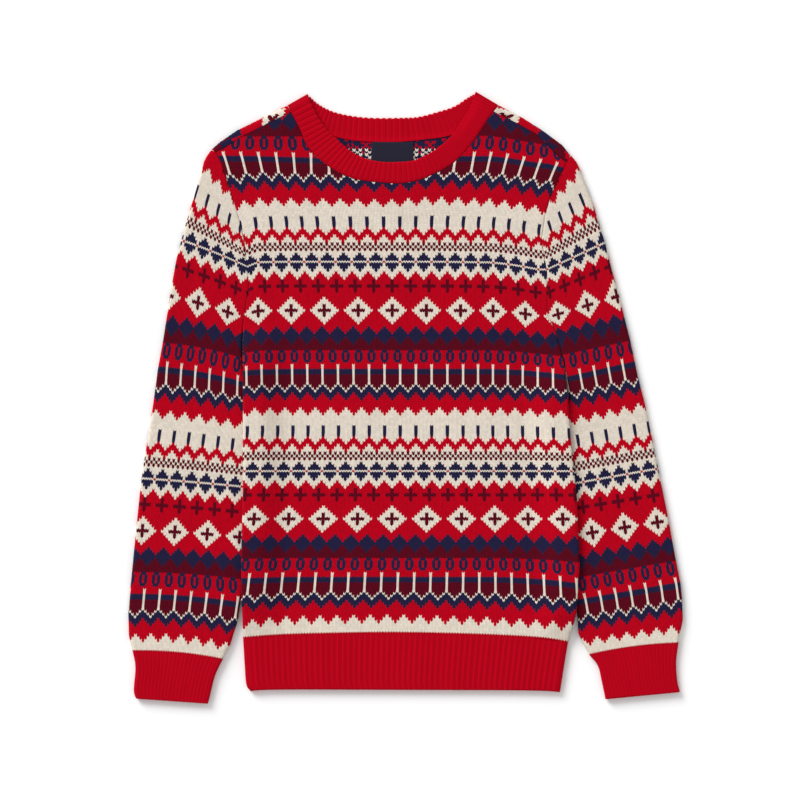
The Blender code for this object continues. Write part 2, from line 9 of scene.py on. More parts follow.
import bmesh
import bpy
import numpy as np
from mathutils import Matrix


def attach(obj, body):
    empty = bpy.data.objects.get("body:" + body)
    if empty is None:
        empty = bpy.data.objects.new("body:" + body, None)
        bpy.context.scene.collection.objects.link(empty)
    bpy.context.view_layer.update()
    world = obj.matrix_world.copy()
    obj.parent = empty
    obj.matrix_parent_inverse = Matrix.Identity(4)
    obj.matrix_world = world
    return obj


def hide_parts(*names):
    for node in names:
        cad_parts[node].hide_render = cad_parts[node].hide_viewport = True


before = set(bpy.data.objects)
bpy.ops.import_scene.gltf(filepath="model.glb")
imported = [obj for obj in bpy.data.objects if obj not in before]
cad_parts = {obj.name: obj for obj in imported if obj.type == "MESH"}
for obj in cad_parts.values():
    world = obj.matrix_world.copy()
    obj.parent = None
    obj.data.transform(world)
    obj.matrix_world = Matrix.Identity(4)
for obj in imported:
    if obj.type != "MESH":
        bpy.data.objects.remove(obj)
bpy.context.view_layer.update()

# ------------------------------------------------------------------ floor, light and camera
# A plain white sweep of studio paper under soft daylight from the upper left, seen from
# straight above at a distance, as flat garments are photographed.
MM = 0.001
FRAME_CENTRE = (-5.0, -2.2)     # what lies at the middle of the picture
FRAME_WIDTH = 723.6             # what the picture spans
LENS, SENSOR = 200.0, 36.0
LAID_HEIGHT = 5.5
DAYLIGHT = 0.65
WINDOW_STRENGTH = 3.0
WINDOW_SPREAD = math.radians(32)
WINDOW_TURN = (math.radians(-44), math.radians(-50), 0.0)
PAPER_SIZE = 6000.0
PAPER_DROP = 0.3                # the paper lies this far under the cloth, so that they don't mix


def linear(code):
    """A six-digit sRGB hex colour as linear red, green and blue."""
    channels = [int(code[i:i + 2], 16) / 255 for i in (0, 2, 4)]
    return tuple(c / 12.92 if c <= 0.04045 else ((c + 0.055) / 1.055) ** 2.4 for c in channels)


def new_material(name):
    material = bpy.data.materials.new(name)
    material.use_nodes = True
    return material, material.node_tree.nodes["Principled BSDF"]


def add_node(material, kind, inputs=None, **settings):
    """Adds a node with its settings; an input is a number, a colour or another node's socket."""
    node = material.node_tree.nodes.new(kind)
    for name, value in settings.items():
        setattr(node, name, value)
    for name, value in (inputs or {}).items():
        if isinstance(value, bpy.types.NodeSocket):
            material.node_tree.links.new(value, node.inputs[name])
        else:
            node.inputs[name].default_value = value
    return node


# Studio paper: matt, bleached, lit until it is almost pure white.
paper, paper_shader = new_material("studio_paper")
paper_shader.inputs["Base Color"].default_value = (*linear("FBFBFB"), 1.0)
paper_shader.inputs["Roughness"].default_value = 0.9
paper_shader.inputs["Specular IOR Level"].default_value = 0.0

floor_mesh = bmesh.new()
bmesh.ops.create_grid(floor_mesh, x_segments=1, y_segments=1, size=PAPER_SIZE / 2 * MM)
bmesh.ops.translate(floor_mesh, verts=floor_mesh.verts, vec=(0, 0, -PAPER_DROP * MM))
floor_data = bpy.data.meshes.new("studio_floor")
floor_mesh.to_mesh(floor_data)
floor_mesh.free()
floor_data.materials.append(paper)
floor = bpy.data.objects.new("studio_floor", floor_data)
bpy.context.scene.collection.objects.link(floor)

sky = bpy.data.worlds.new("white_room")
sky.use_nodes = True
sky.node_tree.nodes["Background"].inputs["Color"].default_value = (1.0, 1.0, 1.0, 1.0)
sky.node_tree.nodes["Background"].inputs["Strength"].default_value = DAYLIGHT
bpy.context.scene.world = sky

window_data = bpy.data.lights.new("window", "SUN")
window_data.energy = WINDOW_STRENGTH
window_data.angle = WINDOW_SPREAD
window = bpy.data.objects.new("window", window_data)
window.rotation_euler = WINDOW_TURN
bpy.context.scene.collection.objects.link(window)

camera_data = bpy.data.cameras.new("overhead_camera")
camera_data.lens = LENS
camera_data.sensor_width = SENSOR
camera_data.clip_end = 20.0
camera = bpy.data.objects.new("overhead_camera", camera_data)
camera.location = (FRAME_CENTRE[0] * MM, FRAME_CENTRE[1] * MM,
                   (FRAME_WIDTH * LENS / SENSOR + LAID_HEIGHT) * MM)
bpy.context.scene.collection.objects.link(camera)
bpy.context.scene.camera = camera
bpy.context.scene.view_settings.view_transform = "Standard"

# ------------------------------------------------------------------ back panel
# The back is jacquard jersey in four yarns, knitted in one piece from the hem rib to the
# shoulders.  It lies on the floor, right side down, and wraps forward over both shoulder folds
# to the linked shoulder seams.
WALL = 2.5
PLY_GAP = 0.5
SEAM_GAP = 0.35
MIDDLE = LAID_HEIGHT / 2
FOLD_WALL_SPREAD = 0.75         # half width of the tight hollow inside a folded edge
EDGE_ROUNDING, EDGE_SHARE = 3.0, 0.35          # a free side edge: how far in it thins, and to what
ARMHOLE_ROUNDING, ARMHOLE_SHARE = 1.2, 0.8      # the same at an armhole, which is sewn flat
ARMHOLE_GAP = 0.12
ARMHOLE_FOOT = (40.0, 75.0)     # the side edges turn into armholes between these heights
FAR_BELOW = -1000.0             # a height that is nowhere near the armholes
TUCK_FLAT, TUCK_END = 13.5, 42.0

# The body's two side edges from the hem up, and how high a tucked sleeve lifts the body there.
SIDE_COLUMNS = ("right_x", "right_y", "right_lift", "left_x", "left_y", "left_lift")
SIDE_ROWS = [
    (-147.0, -217.5, 0.0, 147.0, -221.5, 0.0), (-147.5, -198.5, 3.4, 151.5, -207.5, 3.0),
    (-148.5, -183.0, 6.0, 154.5, -194.0, 6.0), (-148.5, -147.0, 6.0, 157.5, -151.5, 6.0),
    (-147.0, -83.5, 6.0, 155.0, -92.0, 6.0), (-147.0, -20.5, 6.0, 149.0, -35.0, 6.0),
    (-147.0, 11.5, 6.0, 147.5, -13.0, 6.0), (-147.0, 26.5, 6.0, 147.0, -0.5, 6.0),
    (-147.0, 40.5, 4.4, 145.5, 12.5, 4.4), (-147.0, 54.0, 1.8, 144.0, 26.0, 1.8),
    (-147.0, 65.5, 0.0, 142.0, 38.5, 0.0), (-144.5, 83.5, 0.0, 136.0, 59.5, 0.0),
    (-141.5, 102.5, 0.0, 128.0, 75.5, 0.0), (-143.5, 119.0, 0.0, 128.5, 92.0, 0.0),
    (-145.5, 140.0, 0.0, 128.0, 113.5, 0.0), (-150.5, 161.5, 0.0, 123.0, 142.5, 0.0),
    (-157.0, 183.0, 0.0, 126.5, 167.0, 0.0), (-162.5, 199.5, 0.0, 132.5, 185.0, 0.0),
    (-166.5, 212.0, 0.0, 139.5, 200.5, 0.0), (-171.5, 222.0, 0.0, 145.5, 212.0, 0.0)]
UNDERARM_ROW = 10
HEM_SEAM_ROWS = [(-147.0, -217.5), (-112.5, -215.0), (-59.5, -213.5), (-5.0, -213.0),
                 (64.0, -214.5), (121.5, -217.5), (147.0, -221.5)]

# Shoulders from the armhole to the neck: the fold at the top, and the seam forward of it.
SHOULDER_COLUMNS = ("fold_x", "fold_y", "seam_x", "seam_y")
RIGHT_SHOULDER_ROWS = [(-175.5, 224.5, -171.5, 222.0), (-168.5, 231.0, -164.0, 225.5),
                       (-152.5, 242.0, -149.0, 235.5), (-128.0, 254.0, -126.0, 247.0),
                       (-107.0, 264.5, -104.0, 258.0)]
LEFT_SHOULDER_ROWS = [(149.0, 219.5, 145.5, 212.0), (142.0, 228.5, 134.0, 222.0),
                      (123.0, 242.5, 118.5, 238.0), (105.5, 253.5, 101.5, 247.5),
                      (84.5, 264.5, 79.5, 258.5)]

# The neckband from corner to corner: its seam to the panel and its free edge.
NECK_COLUMNS = ("seam_x", "seam_y", "edge_x", "edge_y")
FRONT_NECK_ROWS = [
    (-107.0, 264.5, -88.5, 275.0), (-104.0, 258.0, -86.0, 267.5), (-96.5, 244.0, -78.5, 252.5),
    (-90.5, 229.5, -70.5, 241.5), (-82.5, 219.5, -63.5, 235.0), (-72.5, 211.0, -56.0, 228.0),
    (-59.5, 203.0, -47.5, 221.5), (-43.5, 197.0, -36.0, 216.0), (-24.0, 194.5, -21.0, 213.0),
    (-5.0, 193.5, -5.5, 213.0), (12.0, 196.5, 8.0, 214.5), (29.5, 204.0, 22.0, 221.0),
    (45.0, 213.5, 33.5, 229.0), (59.0, 228.5, 43.5, 239.0), (67.5, 240.5, 49.5, 248.5),
    (74.5, 251.5, 55.0, 257.0), (79.5, 258.5, 60.0, 266.5), (84.5, 264.5, 63.5, 277.0)]
BACK_NECK_ROWS = [
    (84.5, 264.5, 63.5, 277.0), (71.0, 253.0, 56.0, 270.5), (55.5, 243.5, 44.5, 263.0),
    (37.5, 236.5, 29.5, 258.0), (16.5, 233.5, 12.0, 253.5), (-5.0, 231.5, -5.0, 252.5),
    (-30.5, 231.5, -30.5, 252.5), (-52.0, 233.5, -50.0, 254.5), (-72.0, 239.0, -66.5, 258.5),
    (-91.0, 249.5, -79.0, 265.0), (-107.0, 264.5, -88.5, 275.0)]
NECK_STEPS = 60

# Yarn by yarn, red, navy, maroon and cream.  Each band of the repeat gives its width in wales,
# the wale of its centre line, and its rows from the top, read from the centre line outwards.
# At a capital only the stitch's inner leg is in that yarn, and the outer one is red.
YARNS = {"r": "B40019", "n": "201E3D", "m": "560619", "c": "DFD4C5"}
CHART_BANDS = [
    (6, 0, "crrr ccrr cccr cccc cccc cccc cccc cccn cccn cccn cccn cccr ccrr crrr rrrc rrcc rccc "
           "mcmc cmcm mcmc cccc nccc nncc nnnc cccr nnnc nncc nccc cccr ccrr crrr"),
    (7, 0, "mrrr mrrr mmmr mrrr mrrr rrrr rrrr"),
    (13, 0, "crrrrrr ccrrrrr cccrrrr mcccrrr mccccrr mmmcccr mccccrr mcccrrr cccrrrr ccrrrrr "
            "crrrrrr rrrrrrr"),
    (6, 0, "rrrn rrnn rnnn nnnn mnnn mmnn mmmn mmmm mmmm"),
    (5, 2, "nNr rnr rnr rnr nNr rrr"),
    (6, 0, "rrrc rrrc nnnc nnnc mmmc mmmc mmmc mmmc mmcn mcnn cnnn nnnr nnrr nrrr rrrr rrrr rrrr")]
CHART_REACH = 110               # wales that the chart is worked out for, each way
SPREAD_HEIGHTS = (180.0, 250.0)

# How the rows lie on the body's centre line, as (row, y); and where its wales run, as
# (y, x of each charted wale).
BODY_ROWS = np.array([
    (-130, 297.1), (-110, 250.1), (-104.5, 236.6), (-102, 229.8), (-98, 220.4), (-95.5, 215.1),
    (-88, 196.4), (-81, 179.2), (-71, 155.7), (-63, 136.4), (-57, 122.9), (-48, 100.8),
    (-38, 78.9), (-28, 56.4), (-20, 37.1), (-16, 29.1), (-6, 5.9), (1, -10.2), (11, -33.6),
    (19, -52.8), (25, -66.4), (34, -88.1), (44, -109.7), (54, -131.8), (62, -150.8),
    (66, -159.2), (76, -181.6), (83, -197.4)])
BODY_WALES = (-54, -27, 0, 27, 57, 69)
BODY_WALE_ROWS = np.array([
    (-219.3, -157.0, -87.3, -18.6, 50.2, 126.1, 156.9), (-174.1, -150.3, -82.4, -14.7, 52.0, 125.6, 155.1),
    (-110.8, -141.6, -76.9, -12.3, 53.2, 122.5, 151.9), (-29.4, -135.9, -74.4, -11.9, 52.1, 119.3, 147.8),
    (88.2, -138.0, -76.0, -12.0, 52.2, 119.8, 146.0), (158.8, -142.3, -79.7, -12.3, 52.2, 120.6, 145.1),
    (196.8, -149.5, -85.1, -12.6, 58.1, 127.8, 153.3), (220.3, -157.1, -85.5, -12.6, 62.4, 137.3, 165.0),
    (251.9, -154.4, -90.1, -12.3, 67.0, 138.1, 165.9)])
HEM_ROW = 88.9                  # the rib takes over here
RED_FROM_ROW = 89               # and the last course before it is red like the rib
DROOP_END_ROW = 83.0
ZIGZAG = 0.27                   # a stitch's V dips this share of a row at its wale's middle

# The darker yarns are the thicker ones and crowd the others aside, by up to these shares of a
# wale and of a row, and by less where most of the row is dark.
PLUMPNESS = {"r": 0.15, "n": 0.9, "m": 0.9, "c": 0.0}
CROWD_ACROSS, CROWD_DOWN = 0.2, 0.24
MOST_OF_ROW = 0.6
GROUND_SHARE = 0.5              # how much of the thick yarn's plumpness the others then seem to have


def column(rows, names, name):
    return np.array([row[names.index(name)] for row in rows], dtype=float)


def points(rows, names, prefix):
    return np.stack([column(rows, names, prefix + "x"), column(rows, names, prefix + "y")], axis=1)


def unit(vectors):
    return vectors / np.linalg.norm(vectors, axis=-1, keepdims=True)


def smooth_step(value, low, high):
    t = np.clip((value - low) / (high - low), 0.0, 1.0)
    return t * t * (3 - 2 * t)


def smooth_path(table, steps):
    """A smooth curve through a table's points (Catmull-Rom), at evenly spaced steps."""
    table = np.asarray(table, dtype=float)
    padded = np.vstack([2 * table[0] - table[1], table, 2 * table[-1] - table[-2]])
    path = []
    for place in np.linspace(0, len(table) - 1, steps + 1):
        i = min(int(place), len(table) - 2)
        t = place - i
        before, start, end, after = padded[i:i + 4]
        path.append(0.5 * (2 * start + (end - before) * t
                           + (2 * before - 5 * start + 4 * end - after) * t ** 2
                           + (3 * start - before - 3 * end + after) * t ** 3))
    return np.array(path)


def along(path, places):
    """Points on a path at places counted in its own points."""
    numbers = np.arange(len(path))
    return np.stack([np.interp(places, numbers, path[:, k]) for k in range(path.shape[1])], axis=1)


def edge_thinning(distance, y=FAR_BELOW, narrow=1.0):
    """Share of the wall's thickness at a distance from a side edge: it rounds off there."""
    sewn = smooth_step(y, *ARMHOLE_FOOT)
    rounding = (EDGE_ROUNDING + sewn * (ARMHOLE_ROUNDING - EDGE_ROUNDING)) * narrow
    share = EDGE_SHARE + sewn * (ARMHOLE_SHARE - EDGE_SHARE)
    near = 1 - np.clip(distance / rounding, 0.0, 1.0)
    return share + (1 - share) * np.sqrt(1 - near ** 2)


def between(table, down_at, across_at, down, across):
    """Reads a table of numbers between its rows and columns, and straight on past its ends."""
    i = np.clip(np.searchsorted(down_at, down) - 1, 0, len(down_at) - 2)
    j = np.clip(np.searchsorted(across_at, across) - 1, 0, len(across_at) - 2)
    s = (down - down_at[i]) / (down_at[i + 1] - down_at[i])
    t = (across - across_at[j]) / (across_at[j + 1] - across_at[j])
    upper = table[i, j] * (1 - t) + table[i, j + 1] * t
    lower = table[i + 1, j] * (1 - t) + table[i + 1, j + 1] * t
    return upper * (1 - s) + lower * s


def chart_yarns():
    """Which yarn each leg of the repeat's stitches is in: one line for a row, from its top."""
    legs = np.arange(-2 * CHART_REACH, 2 * CHART_REACH) / 2 + 0.25
    lines = []
    for width, centre, rows in CHART_BANDS:
        aside = (legs - centre + width / 2) % width - width / 2
        away = np.abs(np.round(aside)).astype(int)
        for row in rows.split():
            line = np.array(["rnmc".index(yarn.lower()) for yarn in row])[away]
            halved = np.array([yarn.isupper() for yarn in row])[away]
            line[halved & (np.abs(aside) > away)] = 0
            lines.append(line)
    return np.array(lines)


CHART = chart_yarns()
YARN_COLOURS = np.array([linear(YARNS[yarn]) for yarn in "rnmc"])
YARN_PLUMPNESS = np.array([PLUMPNESS[yarn] for yarn in "rnmc"])
NAVY = 1                        # its place in "rnmc"
NO_TOP_ROW = -1000              # higher than any row


def ground_and_motif(line):
    """A row's most common yarn and its next, which are the same where it has only one."""
    counts = np.bincount(line, minlength=4)
    ground = counts.argmax()
    counts[ground] = 0
    return ground, counts.argmax() if counts.any() else ground


def least_plumpness(line):
    """How plump a row's thinner yarns look: more than they are where most of it is thick."""
    counts = np.bincount(line, minlength=4)
    share = GROUND_SHARE if counts.max() > MOST_OF_ROW * len(line) else 0.0
    return share * YARN_PLUMPNESS[counts.argmax()]


GROUND, MOTIF = np.array([ground_and_motif(line) for line in CHART]).T
LEAST_PLUMPNESS = np.array([least_plumpness(line) for line in CHART])


def face_side(wale, row):
    """The right side's yarns, at the middles of the stitches' legs."""
    leg = np.clip(np.floor(2 * wale).astype(int) + 2 * CHART_REACH, 0, CHART.shape[1] - 1)
    return np.where(row >= RED_FROM_ROW, 0, CHART[(row - 1) % len(CHART), leg])


def wrong_side(wale, row):
    """The wrong side: the floats of the row's other yarn, tied down under navy ones by turns."""
    at = (row - 1) % len(CHART)
    other = np.where(face_side(wale, row) == GROUND[at], MOTIF[at], GROUND[at])
    return np.where((np.round(wale) + row) % 2 == 0, other, NAVY)


def crowded(wale, row, turn=1, top_row=NO_TOP_ROW):
    """Moves the corners of the stitches from the thicker yarns towards the thinner ones."""
    leg_wale = (wale[:-1, :-1] + wale[1:, 1:]) / 2
    leg_row = np.maximum(np.round((row[:-1, :-1] + row[1:, 1:]) / 2).astype(int), top_row)
    plump = YARN_PLUMPNESS[face_side(turn * leg_wale, leg_row)]
    plump = np.maximum(plump, LEAST_PLUMPNESS[(leg_row - 1) % len(CHART)])
    plump = np.pad(plump, 1, mode="edge")
    left, right = plump[:, :-1], plump[:, 1:]
    across = (left[:-1] + left[1:] - right[:-1] - right[1:]) / 2
    above, below = plump[:-1], plump[1:]
    down = (above[:, :-1] + above[:, 1:] - below[:, :-1] - below[:, 1:]) / 2
    return wale + CROWD_ACROSS * across, row + CROWD_DOWN * down + row_zigzag(wale)


def row_zigzag(wale):
    return ZIGZAG * (1 - 4 * np.abs(wale - np.round(wale)))


def outlined(plan, outline):
    """Which of a sheet's points lie inside an outline; the others near it are moved onto it."""
    x, y = plan[..., 0], plan[..., 1]
    inside = np.zeros(x.shape, dtype=bool)
    sides = list(zip(outline, np.roll(outline, -1, axis=0)))
    for (x0, y0), (x1, y1) in sides:
        if y0 != y1:
            inside ^= ((y0 > y) != (y1 > y)) & (x < (x1 - x0) * (y - y0) / (y1 - y0) + x0)
    kept = inside[:-1, :-1] | inside[1:, :-1] | inside[:-1, 1:] | inside[1:, 1:]
    used = np.zeros(x.shape, dtype=bool)
    for down in (slice(None, -1), slice(1, None)):
        for across in (slice(None, -1), slice(1, None)):
            used[down, across] |= kept
    moved = used & ~inside
    away = plan[moved]
    best, nearest = np.full(len(away), np.inf), away.copy()
    for start, end in sides:
        run = end - start
        if not run.any():
            continue
        share = np.clip((away - start) @ run / (run @ run), 0, 1)
        place = start + share[:, None] * run
        distance = np.linalg.norm(away - place, axis=1)
        closer = distance < best
        best[closer], nearest[closer] = distance[closer], place[closer]
    plan = plan.copy()
    plan[moved] = nearest
    return plan, kept


def raised(plan, height):
    return np.concatenate([plan, height[..., None]], axis=-1)


STITCH_SCATTER, RIB_SCATTER = 0.14, 0.05    # how unevenly the yarn has taken the dye
SCATTER_SEED = (12.9898, 78.233, 43758.5)       # any numbers that mix wales and rows well
INSIDE_SHARE = 0.6              # a face with more of its corners than this on the inside sheet
SHARPEST_BEND = math.radians(50)


def knit_shell(name, outside, inside, wale, row, kept=None, turn=0, top_row=NO_TOP_ROW):
    """A closed wall of cloth between two sheets of points that share their wales and rows.

    Its UV map counts wales across and rows down.  It is red, or follows the chart where turn is
    1, and the mirrored chart where turn is -1; above top_row it stays as that row is.
    """
    rows, columns = wale.shape
    mesh = bmesh.new()
    place = mesh.verts.layers.int.new("place")
    for number, sheet in enumerate((outside, inside)):
        grid = bmesh.ops.create_grid(mesh, x_segments=columns - 1, y_segments=rows - 1, size=1.0)
        for i, (corner, spot) in enumerate(zip(grid["verts"], (sheet.reshape(-1, 3) * MM).tolist())):
            corner.co = spot
            corner[place] = number * wale.size + i
    mesh.faces.ensure_lookup_table()
    if kept is not None:
        flags = np.concatenate([kept.ravel(), kept.ravel()]).tolist()
        dropped = [face for face, stays in zip(mesh.faces, flags) if not stays]
        bmesh.ops.delete(mesh, geom=dropped, context="FACES")
    rim = [edge for edge in mesh.edges if edge.is_boundary]
    bmesh.ops.bridge_loops(mesh, edges=rim)
    bmesh.ops.recalc_face_normals(mesh, faces=mesh.faces[:])
    data = bpy.data.meshes.new(name)
    mesh.to_mesh(data)
    mesh.free()

    places = np.empty(len(data.vertices), dtype=np.int32)
    data.attributes["place"].data.foreach_get("value", places)
    data.attributes.remove(data.attributes["place"])
    corners = np.empty(len(data.loops), dtype=np.int32)
    data.loops.foreach_get("vertex_index", corners)
    starts = np.empty(len(data.polygons), dtype=np.int32)
    sizes = np.empty(len(data.polygons), dtype=np.int32)
    data.polygons.foreach_get("loop_start", starts)
    data.polygons.foreach_get("loop_total", sizes)
    at = places[corners]
    corner_wale, corner_row = wale.ravel()[at % wale.size], row.ravel()[at % wale.size]
    stitches = data.uv_layers.new(name="stitches")
    stitches.data.foreach_set("uv", np.stack([corner_wale + 0.5, corner_row + 0.5], axis=1).ravel())
    leg_wale = np.add.reduceat(corner_wale, starts) / sizes
    face_row = np.floor(np.add.reduceat(corner_row, starts) / sizes + 0.5)
    on_inside = np.add.reduceat((at >= wale.size).astype(float), starts) / sizes > INSIDE_SHARE
    yarn = np.zeros(len(starts), dtype=int)
    if turn:
        leg = turn * leg_wale, np.maximum(face_row.astype(int), top_row)
        yarn = np.where(on_inside, wrong_side(*leg), face_side(*leg))
    seed = np.round(leg_wale) * SCATTER_SEED[0] + (face_row * SCATTER_SEED[1] if turn else 0.0)
    scatter = np.modf(np.abs(np.sin(seed) * SCATTER_SEED[2]))[0] - 0.5
    shade = 1.0 + scatter * (STITCH_SCATTER if turn else RIB_SCATTER)
    colours = np.ones((len(starts), 4))
    colours[:, :3] = YARN_COLOURS[yarn] * shade[:, None]
    layer = data.color_attributes.new(name="yarn", type="FLOAT_COLOR", domain="CORNER")
    layer.data.foreach_set("color", np.repeat(colours, sizes, axis=0).ravel())
    data.shade_smooth()
    data.set_sharp_from_angle(angle=SHARPEST_BEND)
    piece = bpy.data.objects.new(name, data)
    bpy.context.scene.collection.objects.link(piece)
    return piece


LEG_FULLNESS, LOOP_FULLNESS = 0.6, 0.5      # the lower, the squarer the yarn's section
LOOP_SHARE = 0.55               # how much of the relief fades out between a stitch and the next
FIBRE_SCALE, FIBRE_SHARE = 3300.0, 0.35
CLOUD_SCALE, CLOUD_SHARE = 45.0, 0.1        # slow changes of shade, some 20 mm across
GROOVE_DEPTH = 0.5
RELIEF_STRENGTH = 0.6


def knit_material(name, leg_slant, leg_depth, groove_painted_shade, crest_painted_light):
    """Cotton-blend yarn, knitted: matt and soft, each stitch two plump legs that lean together.

    The legs come from the UV map, whose units are one wale by one row, so each is half a wale
    wide; the loose fibres are 0.3 mm noise.  leg_slant is how much of the lean isn't in the mesh,
    and leg_depth how deep the grooves between the legs are.  The last two arguments scale the
    yarn's colour: painted shade in those grooves and painted light on the crests, standing in
    for the shading of the stitches' relief.
    """
    material, shader = new_material(name)

    def math_node(operation, *values):
        return add_node(material, "ShaderNodeMath", dict(enumerate(values)), operation=operation).outputs[0]

    def hump(place):
        """Rises from nothing and falls back to it within each unit."""
        return math_node("SINE", math_node("MULTIPLY", math_node("FRACT", place), math.pi))

    stitches = add_node(material, "ShaderNodeUVMap", uv_map="stitches").outputs["UV"]
    parts = add_node(material, "ShaderNodeSeparateXYZ", {"Vector": stitches})
    across, down = parts.outputs["X"], parts.outputs["Y"]
    lean = math_node("MULTIPLY", math_node("PINGPONG", math_node("ADD", across, 0.5), 0.5), leg_slant)
    leg = math_node("POWER", hump(math_node("MULTIPLY", across, 2.0)), LEG_FULLNESS)
    loop = math_node("POWER", hump(math_node("ADD", down, lean)), LOOP_FULLNESS)
    loop = math_node("ADD", math_node("MULTIPLY", loop, LOOP_SHARE), 1 - LOOP_SHARE)
    plump = math_node("MULTIPLY", leg, loop)
    place = add_node(material, "ShaderNodeTexCoord").outputs["Object"]
    fibres = add_node(material, "ShaderNodeTexNoise", {"Vector": place, "Scale": FIBRE_SCALE,
                                                       "Detail": 2.0, "Roughness": 0.6}).outputs["Fac"]
    height = math_node("ADD", plump, math_node("MULTIPLY", fibres, FIBRE_SHARE))
    bump = add_node(material, "ShaderNodeBump", {"Height": height, "Strength": RELIEF_STRENGTH,
                                                 "Distance": GROOVE_DEPTH * leg_depth * MM})
    yarn = add_node(material, "ShaderNodeAttribute", attribute_name="yarn",
                    attribute_type="GEOMETRY").outputs["Color"]
    cloudy = add_node(material, "ShaderNodeTexNoise", {"Vector": place, "Scale": CLOUD_SCALE,
                                                       "Detail": 2.0}).outputs["Fac"]
    cloudy = math_node("ADD", math_node("MULTIPLY", cloudy, CLOUD_SHARE), 1 - CLOUD_SHARE / 2)
    # Painted shade and light: the yarn's colour is darkened in the grooves between the legs and lightened
    # on their crests, as the relief's shading would do.
    depth = add_node(material, "ShaderNodeMapRange", {"Value": plump, "From Min": 0.0, "From Max": 0.9,
                                                      "To Min": groove_painted_shade, "To Max": crest_painted_light})
    # the painted relief shade, times the yarn's slow random changes of tone
    level = math_node("MULTIPLY", depth.outputs[0], cloudy)
    colour = add_node(material, "ShaderNodeVectorMath", {0: yarn}, operation="SCALE")
    links = material.node_tree.links
    links.new(level, colour.inputs["Scale"])
    links.new(colour.outputs[0], shader.inputs["Base Color"])
    links.new(bump.outputs["Normal"], shader.inputs["Normal"])
    shader.inputs["Roughness"].default_value = 0.9
    shader.inputs["Specular IOR Level"].default_value = 0.04
    shader.inputs["Sheen Weight"].default_value = 0.02
    shader.inputs["Sheen Roughness"].default_value = 0.5
    return material


# the last two numbers are the painted shade in the grooves and the painted light on the crests
jersey = knit_material("jacquard_jersey_in_cotton_blend", 0.0, 1.0, 0.8, 1.04)

right_side = points(SIDE_ROWS, SIDE_COLUMNS, "right_")
left_side = points(SIDE_ROWS, SIDE_COLUMNS, "left_")
right_lift = column(SIDE_ROWS, SIDE_COLUMNS, "right_lift")
left_lift = column(SIDE_ROWS, SIDE_COLUMNS, "left_lift")
hem_path = smooth_path(HEM_SEAM_ROWS, 60)
front_neck = points(FRONT_NECK_ROWS, NECK_COLUMNS, "seam_")
front_edge = points(FRONT_NECK_ROWS, NECK_COLUMNS, "edge_")
back_neck = points(BACK_NECK_ROWS, NECK_COLUMNS, "seam_")
back_edge = points(BACK_NECK_ROWS, NECK_COLUMNS, "edge_")
right_corner = front_neck[0] + unit(front_neck[1] - front_neck[0]) * MIDDLE
left_corner = front_neck[-1] + unit(front_neck[-2] - front_neck[-1]) * MIDDLE
front_seam_path = smooth_path(front_neck[1:-1], NECK_STEPS)
back_seam_path = smooth_path(np.vstack([left_corner, back_neck[1:-1], right_corner]), NECK_STEPS)


def right_x(y):
    return np.interp(y, right_side[:, 1], right_side[:, 0])


def left_x(y):
    return np.interp(y, left_side[:, 1], left_side[:, 0])


def body_lift(x, y):
    """Height of the body's underside: zero, but raised at the sides where a sleeve is tucked in."""
    right = np.interp(y, right_side[:, 1], right_lift)
    left = np.interp(y, left_side[:, 1], left_lift)
    right = right * (1 - smooth_step(x - right_x(y), TUCK_FLAT, TUCK_END))
    left = left * (1 - smooth_step(left_x(y) - x, TUCK_FLAT, TUCK_END))
    return right + left


def body_thinning(plan):
    x, y = plan[..., 0], plan[..., 1]
    return edge_thinning(np.clip(np.minimum(x - right_x(y), left_x(y) - x), 0.0, None), y)


def body_plan(wale, row, droop, spread=0.0):
    """Where a stitch of the body lies: its row falls below the centre line's by the droop."""
    row = np.minimum(row, HEM_ROW)
    middle_y = np.interp(row, BODY_ROWS[:, 0], BODY_ROWS[:, 1])
    level = np.clip(middle_y, BODY_WALE_ROWS[0, 0], BODY_WALE_ROWS[-1, 0])
    x = between(BODY_WALE_ROWS[:, 1:], BODY_WALE_ROWS[:, 0], np.array(BODY_WALES), level, wale)
    x = x + spread * (x - FRAME_CENTRE[0]) * smooth_step(middle_y, *SPREAD_HEIGHTS)
    y = middle_y - droop(x, np.minimum(row, DROOP_END_ROW))
    hem_y = np.interp(x, hem_path[:, 0], hem_path[:, 1])
    to_hem = np.clip((row - DROOP_END_ROW) / (HEM_ROW - DROOP_END_ROW), 0.0, 1.0)
    return np.stack([x, y * (1 - to_hem) + hem_y * to_hem], axis=-1)


def stitch_grid(first_wale, last_wale, first_row, last_row):
    """The corners of the stitches' legs: at half wales across, and between the rows."""
    wales = np.arange(2 * first_wale - 1, 2 * last_wale + 2) / 2
    rows = np.arange(first_row, last_row + 1) - 0.5
    return np.meshgrid(wales, rows)


BACK_STITCHES = (-66, 73, -127, 90)     # its first and last wale, and its first and last row
BACK_RISE, BACK_DROP = 3.6, 8.0   # the back's rows lie higher behind the neck, lower at its ends
BACK_RISE_REACH = (50.0, 125.0)
NECK_MIDDLE = 9                 # the front neckline's lowest point
BACK_RISE_ROWS = (60.0, 95.0)   # above the repeat's top
BACK_SPREAD = 0.06              # and its wales lie this much wider at the shoulders
SHOULDER_SAMPLES = 161
SHOULDER_BAND = 5.0             # only points this near the fold can wrap over it
SHOULDER_SIDEWAYS = 1.5         # and only where they lie this near one of its rays


def back_droop(x, row):
    outward = smooth_step(np.abs(x - front_neck[NECK_MIDDLE, 0]), *BACK_RISE_REACH)
    return (BACK_DROP * outward - BACK_RISE * (1 - outward)) * smooth_step(-row, *BACK_RISE_ROWS)


